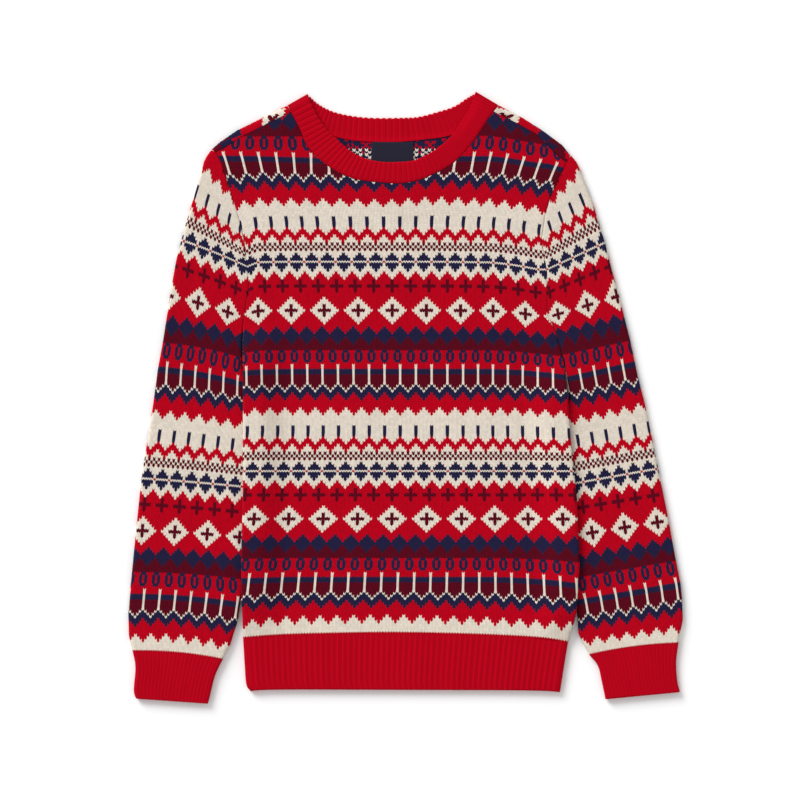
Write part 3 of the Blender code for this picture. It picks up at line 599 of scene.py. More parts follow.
class Shoulder:
    """The bend of the back over one shoulder, from armhole to neck."""

    def __init__(self, rows):
        fold = points(rows, SHOULDER_COLUMNS, "fold_")
        seam = points(rows, SHOULDER_COLUMNS, "seam_")
        places = np.linspace(0, len(rows) - 1, SHOULDER_SAMPLES)
        fold, seam = along(fold, places), along(seam, places)
        self.forward = unit(seam - fold)
        self.start = fold + self.forward * MIDDLE
        top = np.linalg.norm(seam - fold, axis=1) - SEAM_GAP - MIDDLE
        self.end = self.start - self.forward * (math.pi * MIDDLE + top)[:, None]

    def bend(self, plan, outside, inside):
        """Wraps what lies past the fold up and forward, on the outside and the inside sheet."""
        near = np.argwhere(plan[..., 1] > self.start[:, 1].min() - SHOULDER_BAND)
        spots = plan[near[:, 0], near[:, 1]]
        reach = spots[:, None, :] - self.start[None]
        past = -(reach * self.forward).sum(axis=2)
        side = reach[..., 0] * -self.forward[:, 1] + reach[..., 1] * self.forward[:, 0]
        ray = np.abs(side).argmin(axis=1)
        pick = np.arange(len(spots))
        past, side = past[pick, ray], side[pick, ray]
        wrapped = (past > 0) & (np.abs(side) < SHOULDER_SIDEWAYS)
        near, ray, past, side = near[wrapped], ray[wrapped], past[wrapped, None], side[wrapped, None]
        forward = self.forward[ray]
        across = np.stack([-forward[:, 1], forward[:, 0]], axis=1)
        base = self.start[ray] + across * side
        turn = np.clip(past / MIDDLE, 0.0, math.pi)
        beyond = np.clip(past - math.pi * MIDDLE, 0.0, None)
        for sheet, depth, half in ((outside, MIDDLE, MIDDLE), (inside, FOLD_WALL_SPREAD, PLY_GAP / 2)):
            spread = base - forward * depth * np.sin(turn) + forward * beyond
            height = MIDDLE - half * np.cos(turn)
            sheet[near[:, 0], near[:, 1]] = np.concatenate([spread, height], axis=1)


right_shoulder, left_shoulder = Shoulder(RIGHT_SHOULDER_ROWS), Shoulder(LEFT_SHOULDER_ROWS)
back_outline = np.vstack([
    hem_path, left_side[1:-1], left_shoulder.start[:1], left_shoulder.end,
    back_seam_path, right_shoulder.end[::-1], right_shoulder.start[:1], right_side[-2:0:-1]])
wale, row = stitch_grid(*BACK_STITCHES)
plan, kept = outlined(body_plan(*crowded(wale, row), back_droop, BACK_SPREAD), back_outline)
lift = body_lift(plan[..., 0], plan[..., 1])
back_out = raised(plan, lift + WALL * (1 - body_thinning(plan)))
back_in = raised(plan, lift + WALL)
right_shoulder.bend(plan, back_out, back_in)
left_shoulder.bend(plan, back_out, back_in)
back = knit_shell("back_knit", back_out, back_in, wale, row, kept, turn=1)
back.data.materials.append(jersey)
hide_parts("back")
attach(back, "root")

# ------------------------------------------------------------------ front panel
# The front is the same jacquard jersey, right side up.  It lies on the back, is linked to it at
# the side and shoulder seams, and rises a little at the neckline, over the label.
FRONT_STITCHES = (-66, 73, -116, 90)
NECK_RISE = 0.9
NECK_RISE_CENTRE = (-12.0, 222.0)
NECK_RISE_FLAT, NECK_RISE_END = 28.0, 75.0

# How far the front's rows lie below the centre line's, at places across, as (row, droops).
DROOP_AT = np.array((-151.5, -143.4, -133.5, -104.5, -13.2, 26.6, 76.4, 92.7, 105.3, 118.9, 128.8,
                     145.1, 157.8))
DROOP_ROWS = np.array([
    (-104.5, 0.0, 0.0, 0.0, 0.0, 0.0, 0.0, -0.5, 1.8, 4.2, 6.3, 8.1, 10.9, 12.7),
    (-95.5, -1.4, -1.2, -0.9, 0.0, 2.5, -0.9, -0.9, 0.5, 2.7, 4.7, 5.6, 9.9, 12.7),
    (-88, 2.4, 0.9, -0.9, 0.0, 2.4, -2.0, -0.4, 1.8, 3.3, 5.9, 7.2, 9.9, 12.7),
    (-81, 3.6, 1.8, 0.0, 0.0, 1.3, -1.4, 0.6, 2.4, 4.2, 6.9, 9.0, 10.9, 12.7),
    (-71, 5.4, 3.2, 0.4, 0.0, 0.0, 0.0, 0.6, 2.0, 3.6, 6.6, 9.0, 9.0, 9.0),
    (-57, 7.2, 4.5, 0.4, 0.0, 0.0, 0.0, 0.6, 2.2, 4.2, 6.8, 7.2, 7.2, 7.2),
    (-14, 1.8, 1.4, 0.5, 0.0, 0.0, 0.0, 0.0, 0.5, 0.9, 2.3, 3.2, 5.3, 6.3),
    (25, 0.0, 0.0, 0.0, 0.0, 0.0, 0.0, 0.0, 0.0, 0.0, 0.0, 0.0, 0.0, 0.0),
    (44, 0.0, 0.0, 0.0, 0.0, 0.0, 0.0, 0.0, 0.0, 0.0, 0.0, 0.0, 0.0, 0.0),
    (68, 0.9, 0.7, 0.5, 0.0, 0.0, 0.0, 0.0, 0.3, 0.9, 1.8, 2.3, 4.1, 5.9),
    (83, 5.9, 5.4, 3.6, 1.4, 0.0, 0.9, 2.3, 3.3, 4.1, 4.8, 5.4, 6.2, 6.8)])


def front_droop(x, row):
    x = np.clip(x, DROOP_AT[0], DROOP_AT[-1])
    row = np.clip(row, DROOP_ROWS[0, 0], DROOP_ROWS[-1, 0])
    return between(DROOP_ROWS[:, 1:], DROOP_ROWS[:, 0], DROOP_AT, row, x)


def neck_rise(x, y):
    distance = np.hypot(x - NECK_RISE_CENTRE[0], y - NECK_RISE_CENTRE[1])
    return NECK_RISE * (1 - smooth_step(distance, NECK_RISE_FLAT, NECK_RISE_END))


front_outline = np.vstack([
    hem_path, left_side[1:-1], points(LEFT_SHOULDER_ROWS, SHOULDER_COLUMNS, "seam_")[:-1],
    front_seam_path[::-1], points(RIGHT_SHOULDER_ROWS, SHOULDER_COLUMNS, "seam_")[-2::-1],
    right_side[-2:0:-1]])
wale, row = stitch_grid(*FRONT_STITCHES)
plan, kept = outlined(body_plan(*crowded(wale, row), front_droop), front_outline)
under = body_lift(plan[..., 0], plan[..., 1]) + neck_rise(plan[..., 0], plan[..., 1]) + WALL + PLY_GAP
over = under + WALL * body_thinning(plan)
front = knit_shell("front_knit", raised(plan, over), raised(plan, under), wale, row, kept, turn=1)
front.data.materials.append(jersey)
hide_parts("front")
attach(front, "root")

# ------------------------------------------------------------------ sleeves
# Each sleeve is one piece of the same jersey, folded at the shoulder line and linked along the
# underarm, so it lies as a flat tube with its fold outside.  The body lies over its inner edge.
CAP_COLUMNS = ("outer_x", "outer_y")
ARM_COLUMNS = ("outer_x", "outer_y", "inner_x", "inner_y")
RIGHT_CAP_ROWS = [(-176.0, 224.0), (-180.0, 218.5), (-182.5, 213.5), (-184.0, 207.5),
                  (-187.5, 196.0), (-193.5, 175.5), (-201.5, 148.0), (-206.5, 130.0),
                  (-211.0, 105.5), (-214.0, 87.5)]
RIGHT_ARM_ROWS = [
    (-216.0, 74.0, -147.7, 54.0), (-218.0, 61.0, -147.7, 40.5), (-220.5, 45.5, -147.7, 26.5),
    (-224.0, 27.0, -141.5, 12.0), (-229.0, -9.5, -136.5, -25.0), (-239.0, -72.5, -136.5, -81.0),
    (-244.0, -120.5, -137.0, -127.5), (-247.0, -151.5, -139.0, -158.5),
    (-249.5, -176.0, -149.3, -183.5), (-251.0, -194.0, -151.5, -201.0),
    (-250.5, -215.5, -159.0, -224.5), (-247.0, -229.5, -165.5, -237.0)]
LEFT_CAP_ROWS = [(149.7, 219.3), (154.5, 213.5), (157.0, 208.5), (160.5, 199.5),
                 (170.0, 174.5), (181.0, 139.0), (186.5, 116.5), (192.5, 95.5),
                 (197.5, 75.0), (203.0, 53.5)]
LEFT_ARM_ROWS = [
    (206.0, 40.0, 144.7, 26.0), (209.0, 26.0, 146.3, 12.5), (212.0, 12.5, 147.8, -0.5),
    (217.0, -7.0, 142.0, -21.0), (222.0, -30.5, 139.0, -44.0), (231.0, -75.5, 143.0, -91.0),
    (238.0, -110.0, 145.5, -126.0), (244.0, -143.5, 147.0, -158.5),
    (249.0, -168.5, 148.5, -183.0), (250.5, -183.0, 155.5, -195.5),
    (251.0, -201.0, 156.5, -214.0), (247.0, -222.5, 166.5, -233.0)]
CUFF_SEAM_BOW = 2.2

# How the rows cross each sleeve: the row, its height at the outer fold, its fall for each
# millimetre inwards, the wale at the fold, the width of a wale, and the arch of the row.
SLEEVE_COLUMNS = ("row", "outer_y", "slope", "fold_wale", "pitch", "bow")
RIGHT_SLEEVE_ROWS = [
    (-87, 224.0, 1.100, 2.50, 2.17, 0.0), (-81, 211.4, 1.100, 2.20, 2.22, 0.0),
    (-72, 185.8, 0.795, 2.55, 2.13, 0.0), (-57, 142.5, 0.397, 1.75, 2.13, 0.9),
    (-48, 119.0, 0.372, 1.30, 2.20, 0.9), (-38, 91.9, 0.300, 0.90, 2.17, 1.4),
    (-28, 65.6, 0.193, 0.05, 2.14, 2.0), (-16, 31.7, 0.193, -0.60, 2.16, 2.3),
    (-6, 5.9, 0.149, -1.45, 2.18, 1.8), (1, -12.2, 0.145, -1.75, 2.19, 2.0),
    (9.5, -33.5, 0.121, -1.50, 2.23, 1.5), (25, -73.0, 0.084, -2.50, 2.20, 0.5),
    (34, -96.3, 0.081, -2.30, 2.28, 0.5), (44, -120.3, 0.071, -2.60, 2.26, 1.4),
    (54, -143.3, 0.066, -2.90, 2.26, 1.8), (66, -174.1, 0.075, -2.60, 2.36, 1.8),
    (83, -215.7, 0.085, -2.70, 2.29, 4.1), (88.9, -229.5, 0.092, -1.20, 2.22, 2.2)]
LEFT_SLEEVE_ROWS = [
    (-87, 219.3, 1.150, -1.65, 2.17, 0.0), (-81, 207.8, 1.150, -1.65, 2.13, 0.0),
    (-72.5, 184.7, 0.783, -1.10, 2.07, 0.0), (-57, 140.2, 0.460, -0.50, 2.09, 0.0),
    (-48, 119.4, 0.433, -0.50, 2.12, 0.0), (-38, 91.9, 0.300, -1.00, 2.14, 0.0),
    (-28, 69.2, 0.212, -1.50, 2.14, 0.0), (-22.5, 51.8, 0.209, -1.80, 2.17, 0.0),
    (-16, 36.2, 0.231, -2.20, 2.19, 0.0), (-6, 11.8, 0.202, -2.55, 2.19, 0.0),
    (1, -5.3, 0.207, -2.80, 2.21, 0.0), (9.5, -26.6, 0.180, -3.50, 2.17, 0.0),
    (25, -64.1, 0.178, -3.90, 2.23, 0.0), (34, -87.2, 0.163, -4.10, 2.30, 0.0),
    (44, -111.2, 0.158, -4.60, 2.29, 0.0), (54, -133.4, 0.172, -4.90, 2.29, 0.0),
    (66, -163.4, 0.172, -4.80, 2.32, 0.0), (83, -206.2, 0.143, -4.30, 2.27, 0.0),
    (88.9, -222.5, 0.130, -3.00, 2.19, 2.2)]
SLEEVE_STITCHES = (-48, 50, -91, 90)
SLEEVE_TOP_ROW = -87
SLEEVE_TIP_ROWS = 3.0           # the rows above that one run out at the armhole's top
SLEEVE_PLAIN_ROW = -84          # the sleeve is plain red from here up
NARROW_WIDTH = 14.0             # a tube narrower than this has a tighter fold
LEAST_WIDTH, MOST_WIDTH = 0.4, 160.0
WIDTH_HALVINGS = 26
TIP_CLOSING = 0.9               # how far the tip's last row has come in to the armhole
FOLD_ARC = MIDDLE * math.pi / 2


def tube_sheets(outer, across, up, width, spread, bow):
    """The outside and inside sheet of a tube that is folded flat.

    spread is each point's distance from the fold along the cloth: positive on the top, negative
    under it.  outer is the fold's point on the point's row, which runs along across for width.
    """
    narrow = np.minimum(1.0, width / NARROW_WIDTH)
    bend_width = MIDDLE * narrow
    turn = np.clip(np.abs(spread) / MIDDLE, 0.0, math.pi / 2)
    flat = np.clip(np.abs(spread) - FOLD_ARC, 0.0, None)
    sheets = []
    for is_outside in (True, False):
        if is_outside:
            into = bend_width * (1 - np.cos(turn)) + flat
        else:
            into = bend_width - FOLD_WALL_SPREAD * narrow * np.cos(turn) + flat
        into = np.minimum(into, width)
        thin = edge_thinning(width - into, (outer + width[..., None] * across)[..., 1], narrow)
        half = PLY_GAP / 2 + (WALL * thin if is_outside else 0.0)
        share = into / width
        arch = bow * 4 * share * (1 - share)
        plan = outer + into[..., None] * across + arch[..., None] * up
        height = MIDDLE + half * np.sin(turn) * np.sign(spread)
        sheets.append(raised(plan, height))
    return sheets


def sleeve_ends(side, cap_rows, arm_rows):
    """The sleeve's outer fold and inner edge as two paths, from the shoulder down."""
    away = -1 if side[0, 0] < 0 else 1
    outer = np.vstack([points(cap_rows, CAP_COLUMNS, "outer_"),
                       points(arm_rows, ARM_COLUMNS, "outer_")])
    armhole = side[UNDERARM_ROW:][::-1] + np.array((away * ARMHOLE_GAP, 0.0))
    inner = np.vstack([armhole, points(arm_rows, ARM_COLUMNS, "inner_")])
    return outer, inner


def make_sleeve(name, node, side, cap_rows, arm_rows, row_table, turn):
    inward = 1 if side[0, 0] < 0 else -1
    outer_path, inner_path = sleeve_ends(side, cap_rows, arm_rows)
    wale, row = stitch_grid(*SLEEVE_STITCHES)
    wale_at, at = crowded(wale, row, turn, SLEEVE_PLAIN_ROW)
    at = np.minimum(at, HEM_ROW)
    rows = column(row_table, SLEEVE_COLUMNS, "row")
    read = {name: np.interp(at, rows, column(row_table, SLEEVE_COLUMNS, name))
            for name in SLEEVE_COLUMNS[1:]}
    outer_y = read["outer_y"]
    outer = np.stack([np.interp(-outer_y, -outer_path[:, 1], outer_path[:, 0]), outer_y], axis=-1)
    past_tip = np.clip((SLEEVE_TOP_ROW - at) / SLEEVE_TIP_ROWS, 0.0, 1.0)[..., None]
    outer = outer + past_tip * (inner_path[0] - outer_path[0]) * TIP_CLOSING
    across = unit(np.stack([np.full(at.shape, float(inward)), -read["slope"]], axis=-1))
    up = np.stack([-across[..., 1], across[..., 0]], axis=-1) * inward
    # the row's width up to the inner edge, by halving the search
    low, high = np.zeros(at.shape), np.full(at.shape, MOST_WIDTH)
    for _ in range(WIDTH_HALVINGS):
        middle = (low + high) / 2
        spot = outer + middle[..., None] * across
        edge_x = np.interp(-spot[..., 1], -inner_path[:, 1], inner_path[:, 0])
        beyond = (spot[..., 0] - edge_x) * inward > 0
        low, high = np.where(beyond, low, middle), np.where(beyond, middle, high)
    width = np.maximum(low, LEAST_WIDTH)
    narrow = np.minimum(1.0, width / NARROW_WIDTH)
    reach = width - MIDDLE * narrow + FOLD_ARC
    fold_wale = read["fold_wale"] - (FOLD_ARC - MIDDLE) / read["pitch"]
    spread = (wale_at - fold_wale) * read["pitch"]
    inside = (np.abs(spread) < reach) & (past_tip[..., 0] < 1.0)
    kept = inside[:-1, :-1] | inside[1:, :-1] | inside[:-1, 1:] | inside[1:, 1:]
    spread = np.clip(spread, -reach, reach)
    out_sheet, in_sheet = tube_sheets(outer, across, up, width, spread, read["bow"])
    piece = knit_shell(name, out_sheet, in_sheet, wale, row, kept, turn, SLEEVE_PLAIN_ROW)
    piece.data.materials.append(jersey)
    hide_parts(node)
    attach(piece, "root")


make_sleeve("sleeve_right_knit", "sleeve_right", right_side, RIGHT_CAP_ROWS, RIGHT_ARM_ROWS,
            RIGHT_SLEEVE_ROWS, 1)
make_sleeve("sleeve_left_knit", "sleeve_left", left_side, LEFT_CAP_ROWS, LEFT_ARM_ROWS,
            LEFT_SLEEVE_ROWS, -1)

# ------------------------------------------------------------------ hem ribs
# One-by-one rib in the red yarn, knitted on at the lower edge of each panel: raised knit
# columns with deep purl furrows between them, drawn together at the two corners.
HEM_SIDE_COLUMNS = ("right_x", "right_y", "left_x", "left_y")
HEM_SIDE_ROWS = [(-147.0, -217.5, 147.0, -221.5), (-145.5, -243.0, 143.5, -243.0),
                 (-144.0, -260.0, 140.5, -262.0), (-140.0, -266.0, 139.5, -267.0)]
HEM_BOTTOM_RISE = 2.0
HEM_RIBS = 57
LINKED_GAP = 0.12               # a linked seam that has closed up
RIB_CREST = 0.2
HEM_FURROW, CUFF_FURROW, NECK_FURROW = 0.6, 0.3, 0.5   # how far a furrow lies below the crests
POINTS_PER_RIB = 6
RIB_ROW = 2.1                   # length of one rib stitch
EDGE_LIP = 1.2                  # a free edge rounds off over this
LIP_DROP, LIP_SWEEP = 0.5, 0.85     # how far its upper side comes down, and along what arc
LIP_RISE = 0.3                  # and how far its under side comes up, in shares of the wall
RIB_FROM_SEAM = (0.0, 2.5)      # the ribs begin over this stretch from the seam
RIB_FROM_SIDE = (0.5, 2.5)
SIDE_SHARES = (0.0035, 0.010)   # a hem's finer points next to its corners, by share of its width
SIDE_RIBS = (0.2, 0.4)
HEM_STEPS = np.concatenate([np.linspace(0.0, 0.9, 14), (0.94, 0.965, 0.985, 1.0)])
CORNER_ROUNDING = 8             # the power of the lower edge's curve
EDGE_PATH_STEPS = 30

# the last two numbers are the painted shade in the grooves and the painted light on the crests
rib_material = knit_material("one_by_one_rib_in_cotton_blend", 0.7, 0.6, 0.8, 0.97)


def rib_relief(ribs, furrow):
    """Height above the plain wall at a place counted in ribs: broad crests, narrow furrows."""
    return RIB_CREST - furrow * (1 - np.abs(np.sin(np.pi * ribs)))


def lip_share(to_edge):
    """How far round a free edge a point lies: 0 where it begins, 1 at the very edge."""
    return 1 - np.clip(to_edge / EDGE_LIP, 0.0, 1.0)


def lip_drop(lip):
    """How far the upper side has come down there."""
    return LIP_DROP * WALL * (1 - np.sqrt(1 - LIP_SWEEP * lip ** 2))


def hem_plan(shares, downs):
    """The hem rib's points: shares across from right to left, by shares of the way down."""
    right = points(HEM_SIDE_ROWS, HEM_SIDE_COLUMNS, "right_")
    left = points(HEM_SIDE_ROWS, HEM_SIDE_COLUMNS, "left_")
    right_down = (right[:, 1] - right[0, 1]) / (right[-1, 1] - right[0, 1])
    left_down = (left[:, 1] - left[0, 1]) / (left[-1, 1] - left[0, 1])
    seam_x = hem_path[0, 0] + shares * (hem_path[-1, 0] - hem_path[0, 0])
    seam_y = np.interp(seam_x, hem_path[:, 0], hem_path[:, 1]) - LINKED_GAP
    bottom = right[-1, 1] * (1 - shares) + left[-1, 1] * shares
    bottom = bottom + HEM_BOTTOM_RISE * np.sqrt(np.clip(1 - (2 * shares - 1) ** CORNER_ROUNDING, 0, 1))
    right_at = smooth_path(np.column_stack([right_down, right[:, 0]]), EDGE_PATH_STEPS)
    left_at = smooth_path(np.column_stack([left_down, left[:, 0]]), EDGE_PATH_STEPS)
    from_x = np.interp(downs, right_at[:, 0], right_at[:, 1])[:, None]
    to_x = np.interp(downs, left_at[:, 0], left_at[:, 1])[:, None]
    x = from_x + shares * (to_x - from_x)
    y = seam_y + (bottom - seam_y) * downs[:, None]
    return np.stack([x, y], axis=-1)


def make_hem(name, node, is_front):
    across = np.linspace(0.0, HEM_RIBS, HEM_RIBS * POINTS_PER_RIB + 1)
    near, next_to = SIDE_SHARES
    shares = np.concatenate([(0.0, near), np.linspace(next_to, 1 - next_to, len(across)), (1 - near, 1.0)])
    aside = np.array(SIDE_RIBS)
    ribs = np.concatenate([-aside[::-1], across, HEM_RIBS + aside])
    plan = hem_plan(shares, HEM_STEPS)
    length = abs(plan[0, :, 1] - plan[-1, :, 1]).mean()
    from_seam = (HEM_STEPS * length)[:, None]
    from_edge = np.minimum(plan[..., 0] - plan[:, :1, 0], plan[:, -1:, 0] - plan[..., 0])
    lip = lip_share(length - from_seam)
    full = WALL * edge_thinning(from_edge) - lip_drop(lip)
    relief = rib_relief(ribs, HEM_FURROW) * smooth_step(from_seam, *RIB_FROM_SEAM)
    relief = relief * smooth_step(from_edge, *RIB_FROM_SIDE)
    if is_front:
        inside = np.full(plan.shape[:2], WALL + PLY_GAP) + LIP_RISE * WALL * lip
        outside = WALL + PLY_GAP + full + relief
    else:
        inside = np.full(plan.shape[:2], WALL) - LIP_RISE * WALL * lip
        outside = WALL - full - np.minimum(relief, 0.0)
    wale = np.broadcast_to(ribs, plan.shape[:2])
    row = np.broadcast_to(from_seam / RIB_ROW, plan.shape[:2])
    piece = knit_shell(name, raised(plan, outside), raised(plan, inside), wale, row)
    piece.data.materials.append(rib_material)
    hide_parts(node)
    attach(piece, "root")


make_hem("hem_rib_back_knit", "hem_rib_back", False)
make_hem("hem_rib_front_knit", "hem_rib_front", True)

# ------------------------------------------------------------------ cuffs
# The same rib closed into a tube at each wrist, and laid flat like the sleeve it ends.
RIGHT_CUFF_ROWS = [(-247.0, -229.5, -165.5, -237.0), (-244.5, -244.0, -172.5, -252.0),
                   (-246.0, -264.5, -177.5, -272.0), (-244.0, -272.5, -179.0, -277.0)]
LEFT_CUFF_ROWS = [(247.0, -222.5, 166.5, -233.0), (245.0, -239.0, 174.0, -242.5),
                  (246.0, -256.5, 177.5, -256.5), (248.5, -266.5, 181.0, -273.0)]
CUFF_RIBS = 22
CUFF_STEPS = np.concatenate([np.linspace(0, 2.6, 16), (2.75, 2.88, 2.95, 3.0)])    # counted in rows


def make_cuff(name, node, rows):
    outer, inner = points(rows, ARM_COLUMNS, "outer_"), points(rows, ARM_COLUMNS, "inner_")
    inward = 1 if outer[0, 0] < 0 else -1
    towards = unit(outer[1] - outer[0] + inner[1] - inner[0]) * LINKED_GAP
    outer[0] += towards
    inner[0] += towards
    places = CUFF_STEPS * EDGE_PATH_STEPS / (len(rows) - 1)
    outer, inner = (along(smooth_path(side, EDGE_PATH_STEPS), places) for side in (outer, inner))
    width = np.linalg.norm(inner - outer, axis=1)
    across = unit(inner - outer)
    up = np.column_stack([-across[:, 1], across[:, 0]]) * inward
    bow = CUFF_SEAM_BOW * np.interp(CUFF_STEPS, (0.0, 1.0, 2.0), (1.0, 0.5, 0.0))
    reach = width - MIDDLE + FOLD_ARC
    ribs = np.linspace(-CUFF_RIBS, CUFF_RIBS, 2 * CUFF_RIBS * POINTS_PER_RIB + 1)
    spread = reach[:, None] * ribs / CUFF_RIBS
    shape = spread.shape
    width, bow = np.broadcast_to(width[:, None], shape), np.broadcast_to(bow[:, None], shape)
    outer, across, up = (np.broadcast_to(v[:, None, :], (*shape, 2)) for v in (outer, across, up))
    out_sheet, in_sheet = tube_sheets(outer, across, up, width, spread, bow)
    from_seam = np.linalg.norm(out_sheet[:, :, :2] - out_sheet[:1, :, :2], axis=2)
    lip = lip_share(from_seam[-1:] - from_seam)
    relief = rib_relief(ribs, CUFF_FURROW) * smooth_step(from_seam, *RIB_FROM_SEAM)
    relief = relief * smooth_step(reach[:, None] - np.abs(spread), *RIB_FROM_SIDE)
    out_rise = relief - lip_drop(lip)
    turn = np.clip(np.abs(spread) / MIDDLE, 0.0, math.pi / 2)
    below = spread < 0
    out_sheet[..., 2] += np.where(below, -np.minimum(out_rise, 0.0), out_rise) * np.sin(turn)
    out_sheet[..., :2] -= (np.minimum(out_rise, 0.0) * np.cos(turn))[..., None] * across
    in_sheet[..., 2] += LIP_RISE * WALL * lip * np.where(below, -1, 1) * np.sin(turn)
    wale = np.broadcast_to(ribs, shape)
    piece = knit_shell(name, out_sheet, in_sheet, wale, from_seam / RIB_ROW)
    piece.data.materials.append(rib_material)
    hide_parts(node)
    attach(piece, "root")


make_cuff("cuff_right_knit", "cuff_right", RIGHT_CUFF_ROWS)
make_cuff("cuff_left_knit", "cuff_left", LEFT_CUFF_ROWS)

# ------------------------------------------------------------------ neckband
# A ring of the same rib, linked to the neckline and turned at both neck corners: its front half
# lies on the front, its back half stands level with the back.
NECK_FRONT_RIBS, NECK_BACK_RIBS = 48, 38
NECKBAND_WIDTH = 20.0
BACK_CREST = 0.1
SEAM_RIDGE, RIDGE_REACH = 0.7, (0.8, 4.0)   # the linked edge stands up on the inner side
SEAM_DIP, DIP_REACH = 0.5, (0.0, 1.6)       # and is drawn down on the outer side
BAND_FROM_SEAM = (0.4, 2.6)     # the ribs begin over this stretch from the seam
FRONT_SCALLOP, BACK_SCALLOP = (0.35, 0.8), (0.9, 0.75)     # at a rib's end, from that share on
CORNER_FADE = (0.72, 0.92)      # the ribs flatten out over this share of the way to the left corner
CORNER_THINNING, THIN_FROM = 0.6, 0.6       # and the free edge thins there, from that share on
THICKEST_RISE = 0.4             # the under side rises by no more than this share of what is left
CORNER_BENDS = np.radians((-45.0, -22.5, 0.0, 22.5, 45.0))
BAND_SHARES = np.concatenate([(0.0, 0.05, 0.12), np.linspace(0.22, 0.86, 7), (0.93, 0.975, 1.0)])


def evenly_along(path, count):
    """Places on a path, in its own points, that lie evenly along its length."""
    steps = np.linalg.norm(np.diff(path, axis=0), axis=1)
    length = np.concatenate([[0.0], np.cumsum(steps)])
    return np.interp(np.linspace(0, length[-1], count), length, np.arange(len(path)))


def across_band(seam, edge, gap, rib, scallop, scallop_from):
    """A section of the band: its plan, its distances from the seam, and its free edge's lip."""
    towards, length = unit(edge - seam), np.linalg.norm(edge - seam)
    seam = seam + towards * gap
    out = scallop * np.abs(np.sin(np.pi * rib)) * smooth_step(BAND_SHARES, scallop_from, 1.0)
    plan = seam + BAND_SHARES[:, None] * (edge - seam) + out[:, None] * towards
    return plan, BAND_SHARES * length, lip_share((1 - BAND_SHARES) * length)


def make_neckband():
    right_edge = front_edge[0] + unit(front_edge[1] - front_edge[0]) * MIDDLE
    left_edge = front_edge[-1] + unit(front_edge[-2] - front_edge[-1]) * MIDDLE
    front_seam = np.vstack([right_corner, front_seam_path, left_corner])
    front_free = np.vstack([right_edge, smooth_path(front_edge[1:-1], NECK_STEPS), left_edge])
    back_free = smooth_path(np.vstack([left_edge, back_edge[1:-1], right_edge]), NECK_STEPS)
    out_rows, in_rows, rib_places = [], [], []

    def add_front(seam, edge, rib):
        """The front half lies on the front panel."""
        plan, from_seam, lip = across_band(seam, edge, SEAM_GAP, rib, *FRONT_SCALLOP)
        fade = smooth_step(rib / NECK_FRONT_RIBS, *CORNER_FADE)
        rise = rib_relief(rib, NECK_FURROW) * smooth_step(from_seam, *BAND_FROM_SEAM) * (1 - fade)
        dip = SEAM_DIP * (1 - smooth_step(from_seam, *DIP_REACH))
        thinning = CORNER_THINNING * fade * smooth_step(BAND_SHARES, THIN_FROM, 1.0)
        thickness = (WALL + rise - dip - lip_drop(lip)) * (1 - thinning)
        base = WALL + PLY_GAP + neck_rise(plan[:, 0], plan[:, 1])
        out_rows.append(raised(plan, base + thickness))
        in_rows.append(raised(plan, base + np.minimum(LIP_RISE * WALL * lip, THICKEST_RISE * thickness)))
        rib_places.append(rib)

    def add_back(seam, edge, rib):
        """The back half shows its inner side: the ribs stand up from it, and the floor is below."""
        plan, from_seam, lip = across_band(seam, edge, LINKED_GAP, rib, *BACK_SCALLOP)
        fade = smooth_step(1 - rib / NECK_BACK_RIBS, *CORNER_FADE)
        relief = rib_relief(rib, NECK_FURROW) - RIB_CREST + BACK_CREST
        rise = relief * smooth_step(from_seam, *BAND_FROM_SEAM) * (1 - fade)
        ridge = SEAM_RIDGE * (1 - smooth_step(from_seam, *RIDGE_REACH))
        out_rows.append(raised(plan, LIP_RISE * WALL * lip))
        in_rows.append(raised(plan, WALL + rise + ridge - lip_drop(lip)))
        rib_places.append(NECK_FRONT_RIBS + rib)

    def add_corner(seam, next_seam, edge, next_edge, bends, rib):
        """The band turns over on itself at the shoulder fold."""
        into_seam, into_edge = unit(next_seam - seam), unit(next_edge - edge)
        for bend in bends:
            for rows, depth, half in ((out_rows, MIDDLE, MIDDLE),
                                      (in_rows, FOLD_WALL_SPREAD, PLY_GAP / 2)):
                into = MIDDLE - depth * math.cos(bend)
                from_point, to_point = seam + into_seam * into, edge + into_edge * into
                from_point = from_point + unit(to_point - from_point) * SEAM_GAP
                plan = from_point + BAND_SHARES[:, None] * (to_point - from_point)
                rows.append(raised(plan, np.full(len(plan), MIDDLE + half * math.sin(bend))))
            rib_places.append(rib)

    add_corner(front_neck[0], front_neck[1], front_edge[0], front_edge[1], CORNER_BENDS, 0.0)
    ribs = np.linspace(0, NECK_FRONT_RIBS, NECK_FRONT_RIBS * POINTS_PER_RIB + 1)
    places = evenly_along(front_seam, len(ribs))
    for seam, edge, rib in zip(along(front_seam, places), along(front_free, places), ribs):
        add_front(seam, edge, rib)
    add_corner(front_neck[-1], front_neck[-2], front_edge[-1], front_edge[-2], CORNER_BENDS[::-1],
               float(NECK_FRONT_RIBS))
    ribs = np.linspace(0, NECK_BACK_RIBS, NECK_BACK_RIBS * POINTS_PER_RIB + 1)
    places = evenly_along(back_seam_path, len(ribs))[:-1]
    for seam, edge, rib in zip(along(back_seam_path, places), along(back_free, places), ribs):
        add_back(seam, edge, rib)
    wale = np.repeat(np.array(rib_places)[:, None], len(BAND_SHARES), axis=1)
    row = np.broadcast_to(BAND_SHARES * NECKBAND_WIDTH / RIB_ROW, wale.shape)
    return knit_shell("neckband_knit", np.array(out_rows), np.array(in_rows), wale, row), front_seam


neckband, front_seam_line = make_neckband()
neckband.data.materials.append(rib_material)
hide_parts("neckband")
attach(neckband, "root")
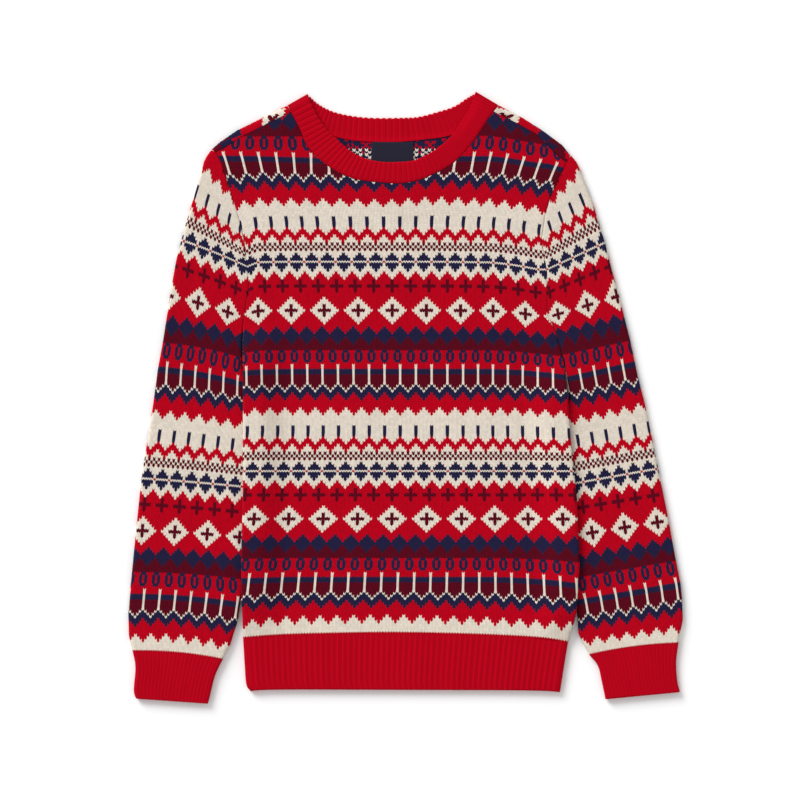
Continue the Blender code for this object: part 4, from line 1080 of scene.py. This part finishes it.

# ------------------------------------------------------------------ label
# A satin-woven neck label in navy, blank, sewn inside the back just below the neckband.
LABEL_WIDTH, LABEL_HEIGHT = 38.0, 21.5
LABEL_TOP_CENTRE = (-12.0, 231.2)
LABEL_STEPS = (38, 22)
LABEL_EDGE, LABEL_SWELL = 0.45, 0.25        # how thick its edges are, and how much thicker the rest
STITCHING_DIP, STITCHING_INSET, STITCHING_WIDTH = 0.15, 1.8, 0.4
SATIN_THREAD = 0.35

label_across = LABEL_TOP_CENTRE[0] + LABEL_WIDTH * np.linspace(-0.5, 0.5, LABEL_STEPS[0] + 1)
label_down = LABEL_TOP_CENTRE[1] - LABEL_HEIGHT * np.linspace(0.0, 1.0, LABEL_STEPS[1] + 1)
plan = np.stack(np.meshgrid(label_across, label_down), axis=-1)
low = np.full(plan.shape[:2], WALL + SEAM_GAP)
from_edge = np.minimum(LABEL_WIDTH / 2 - np.abs(plan[..., 0] - LABEL_TOP_CENTRE[0]),
                       np.minimum(LABEL_TOP_CENTRE[1] - plan[..., 1],
                                  plan[..., 1] - LABEL_TOP_CENTRE[1] + LABEL_HEIGHT))
stitching = STITCHING_DIP * np.exp(-((from_edge - STITCHING_INSET) / STITCHING_WIDTH) ** 2)
thickness = LABEL_EDGE + LABEL_SWELL * smooth_step(from_edge, 0.0, 1.0) - stitching
label = knit_shell("label_satin", raised(plan, low + thickness), raised(plan, low),
                   (plan[..., 0] - label_across[0]) / SATIN_THREAD, plan[..., 1] / SATIN_THREAD)
satin, satin_shader = new_material("satin_woven_polyester")
# Woven polyester satin: close, smooth threads that give a soft sideways gleam.  A drawn band
# stands for six threads or so, because a single one is too fine to show.
satin_shader.inputs["Base Color"].default_value = (*linear("1D1B2C"), 1.0)
satin_shader.inputs["Roughness"].default_value = 0.55
satin_shader.inputs["Specular IOR Level"].default_value = 0.15
place = add_node(satin, "ShaderNodeTexCoord").outputs["Object"]
WAVE_RADIANS = 20               # the wave texture's own radians to a unit
threads = add_node(satin, "ShaderNodeTexWave", {"Vector": place, "Distortion": 0.4,
                                                "Scale": 1 / (SATIN_THREAD * MM * WAVE_RADIANS)},
                   bands_direction="X")
threads_bump = add_node(satin, "ShaderNodeBump", {"Height": threads.outputs["Fac"], "Strength": 0.4,
                                                  "Distance": 0.1 * MM})
satin.node_tree.links.new(threads_bump.outputs["Normal"], satin_shader.inputs["Normal"])
label.data.materials.append(satin)
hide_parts("label")
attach(label, "root")
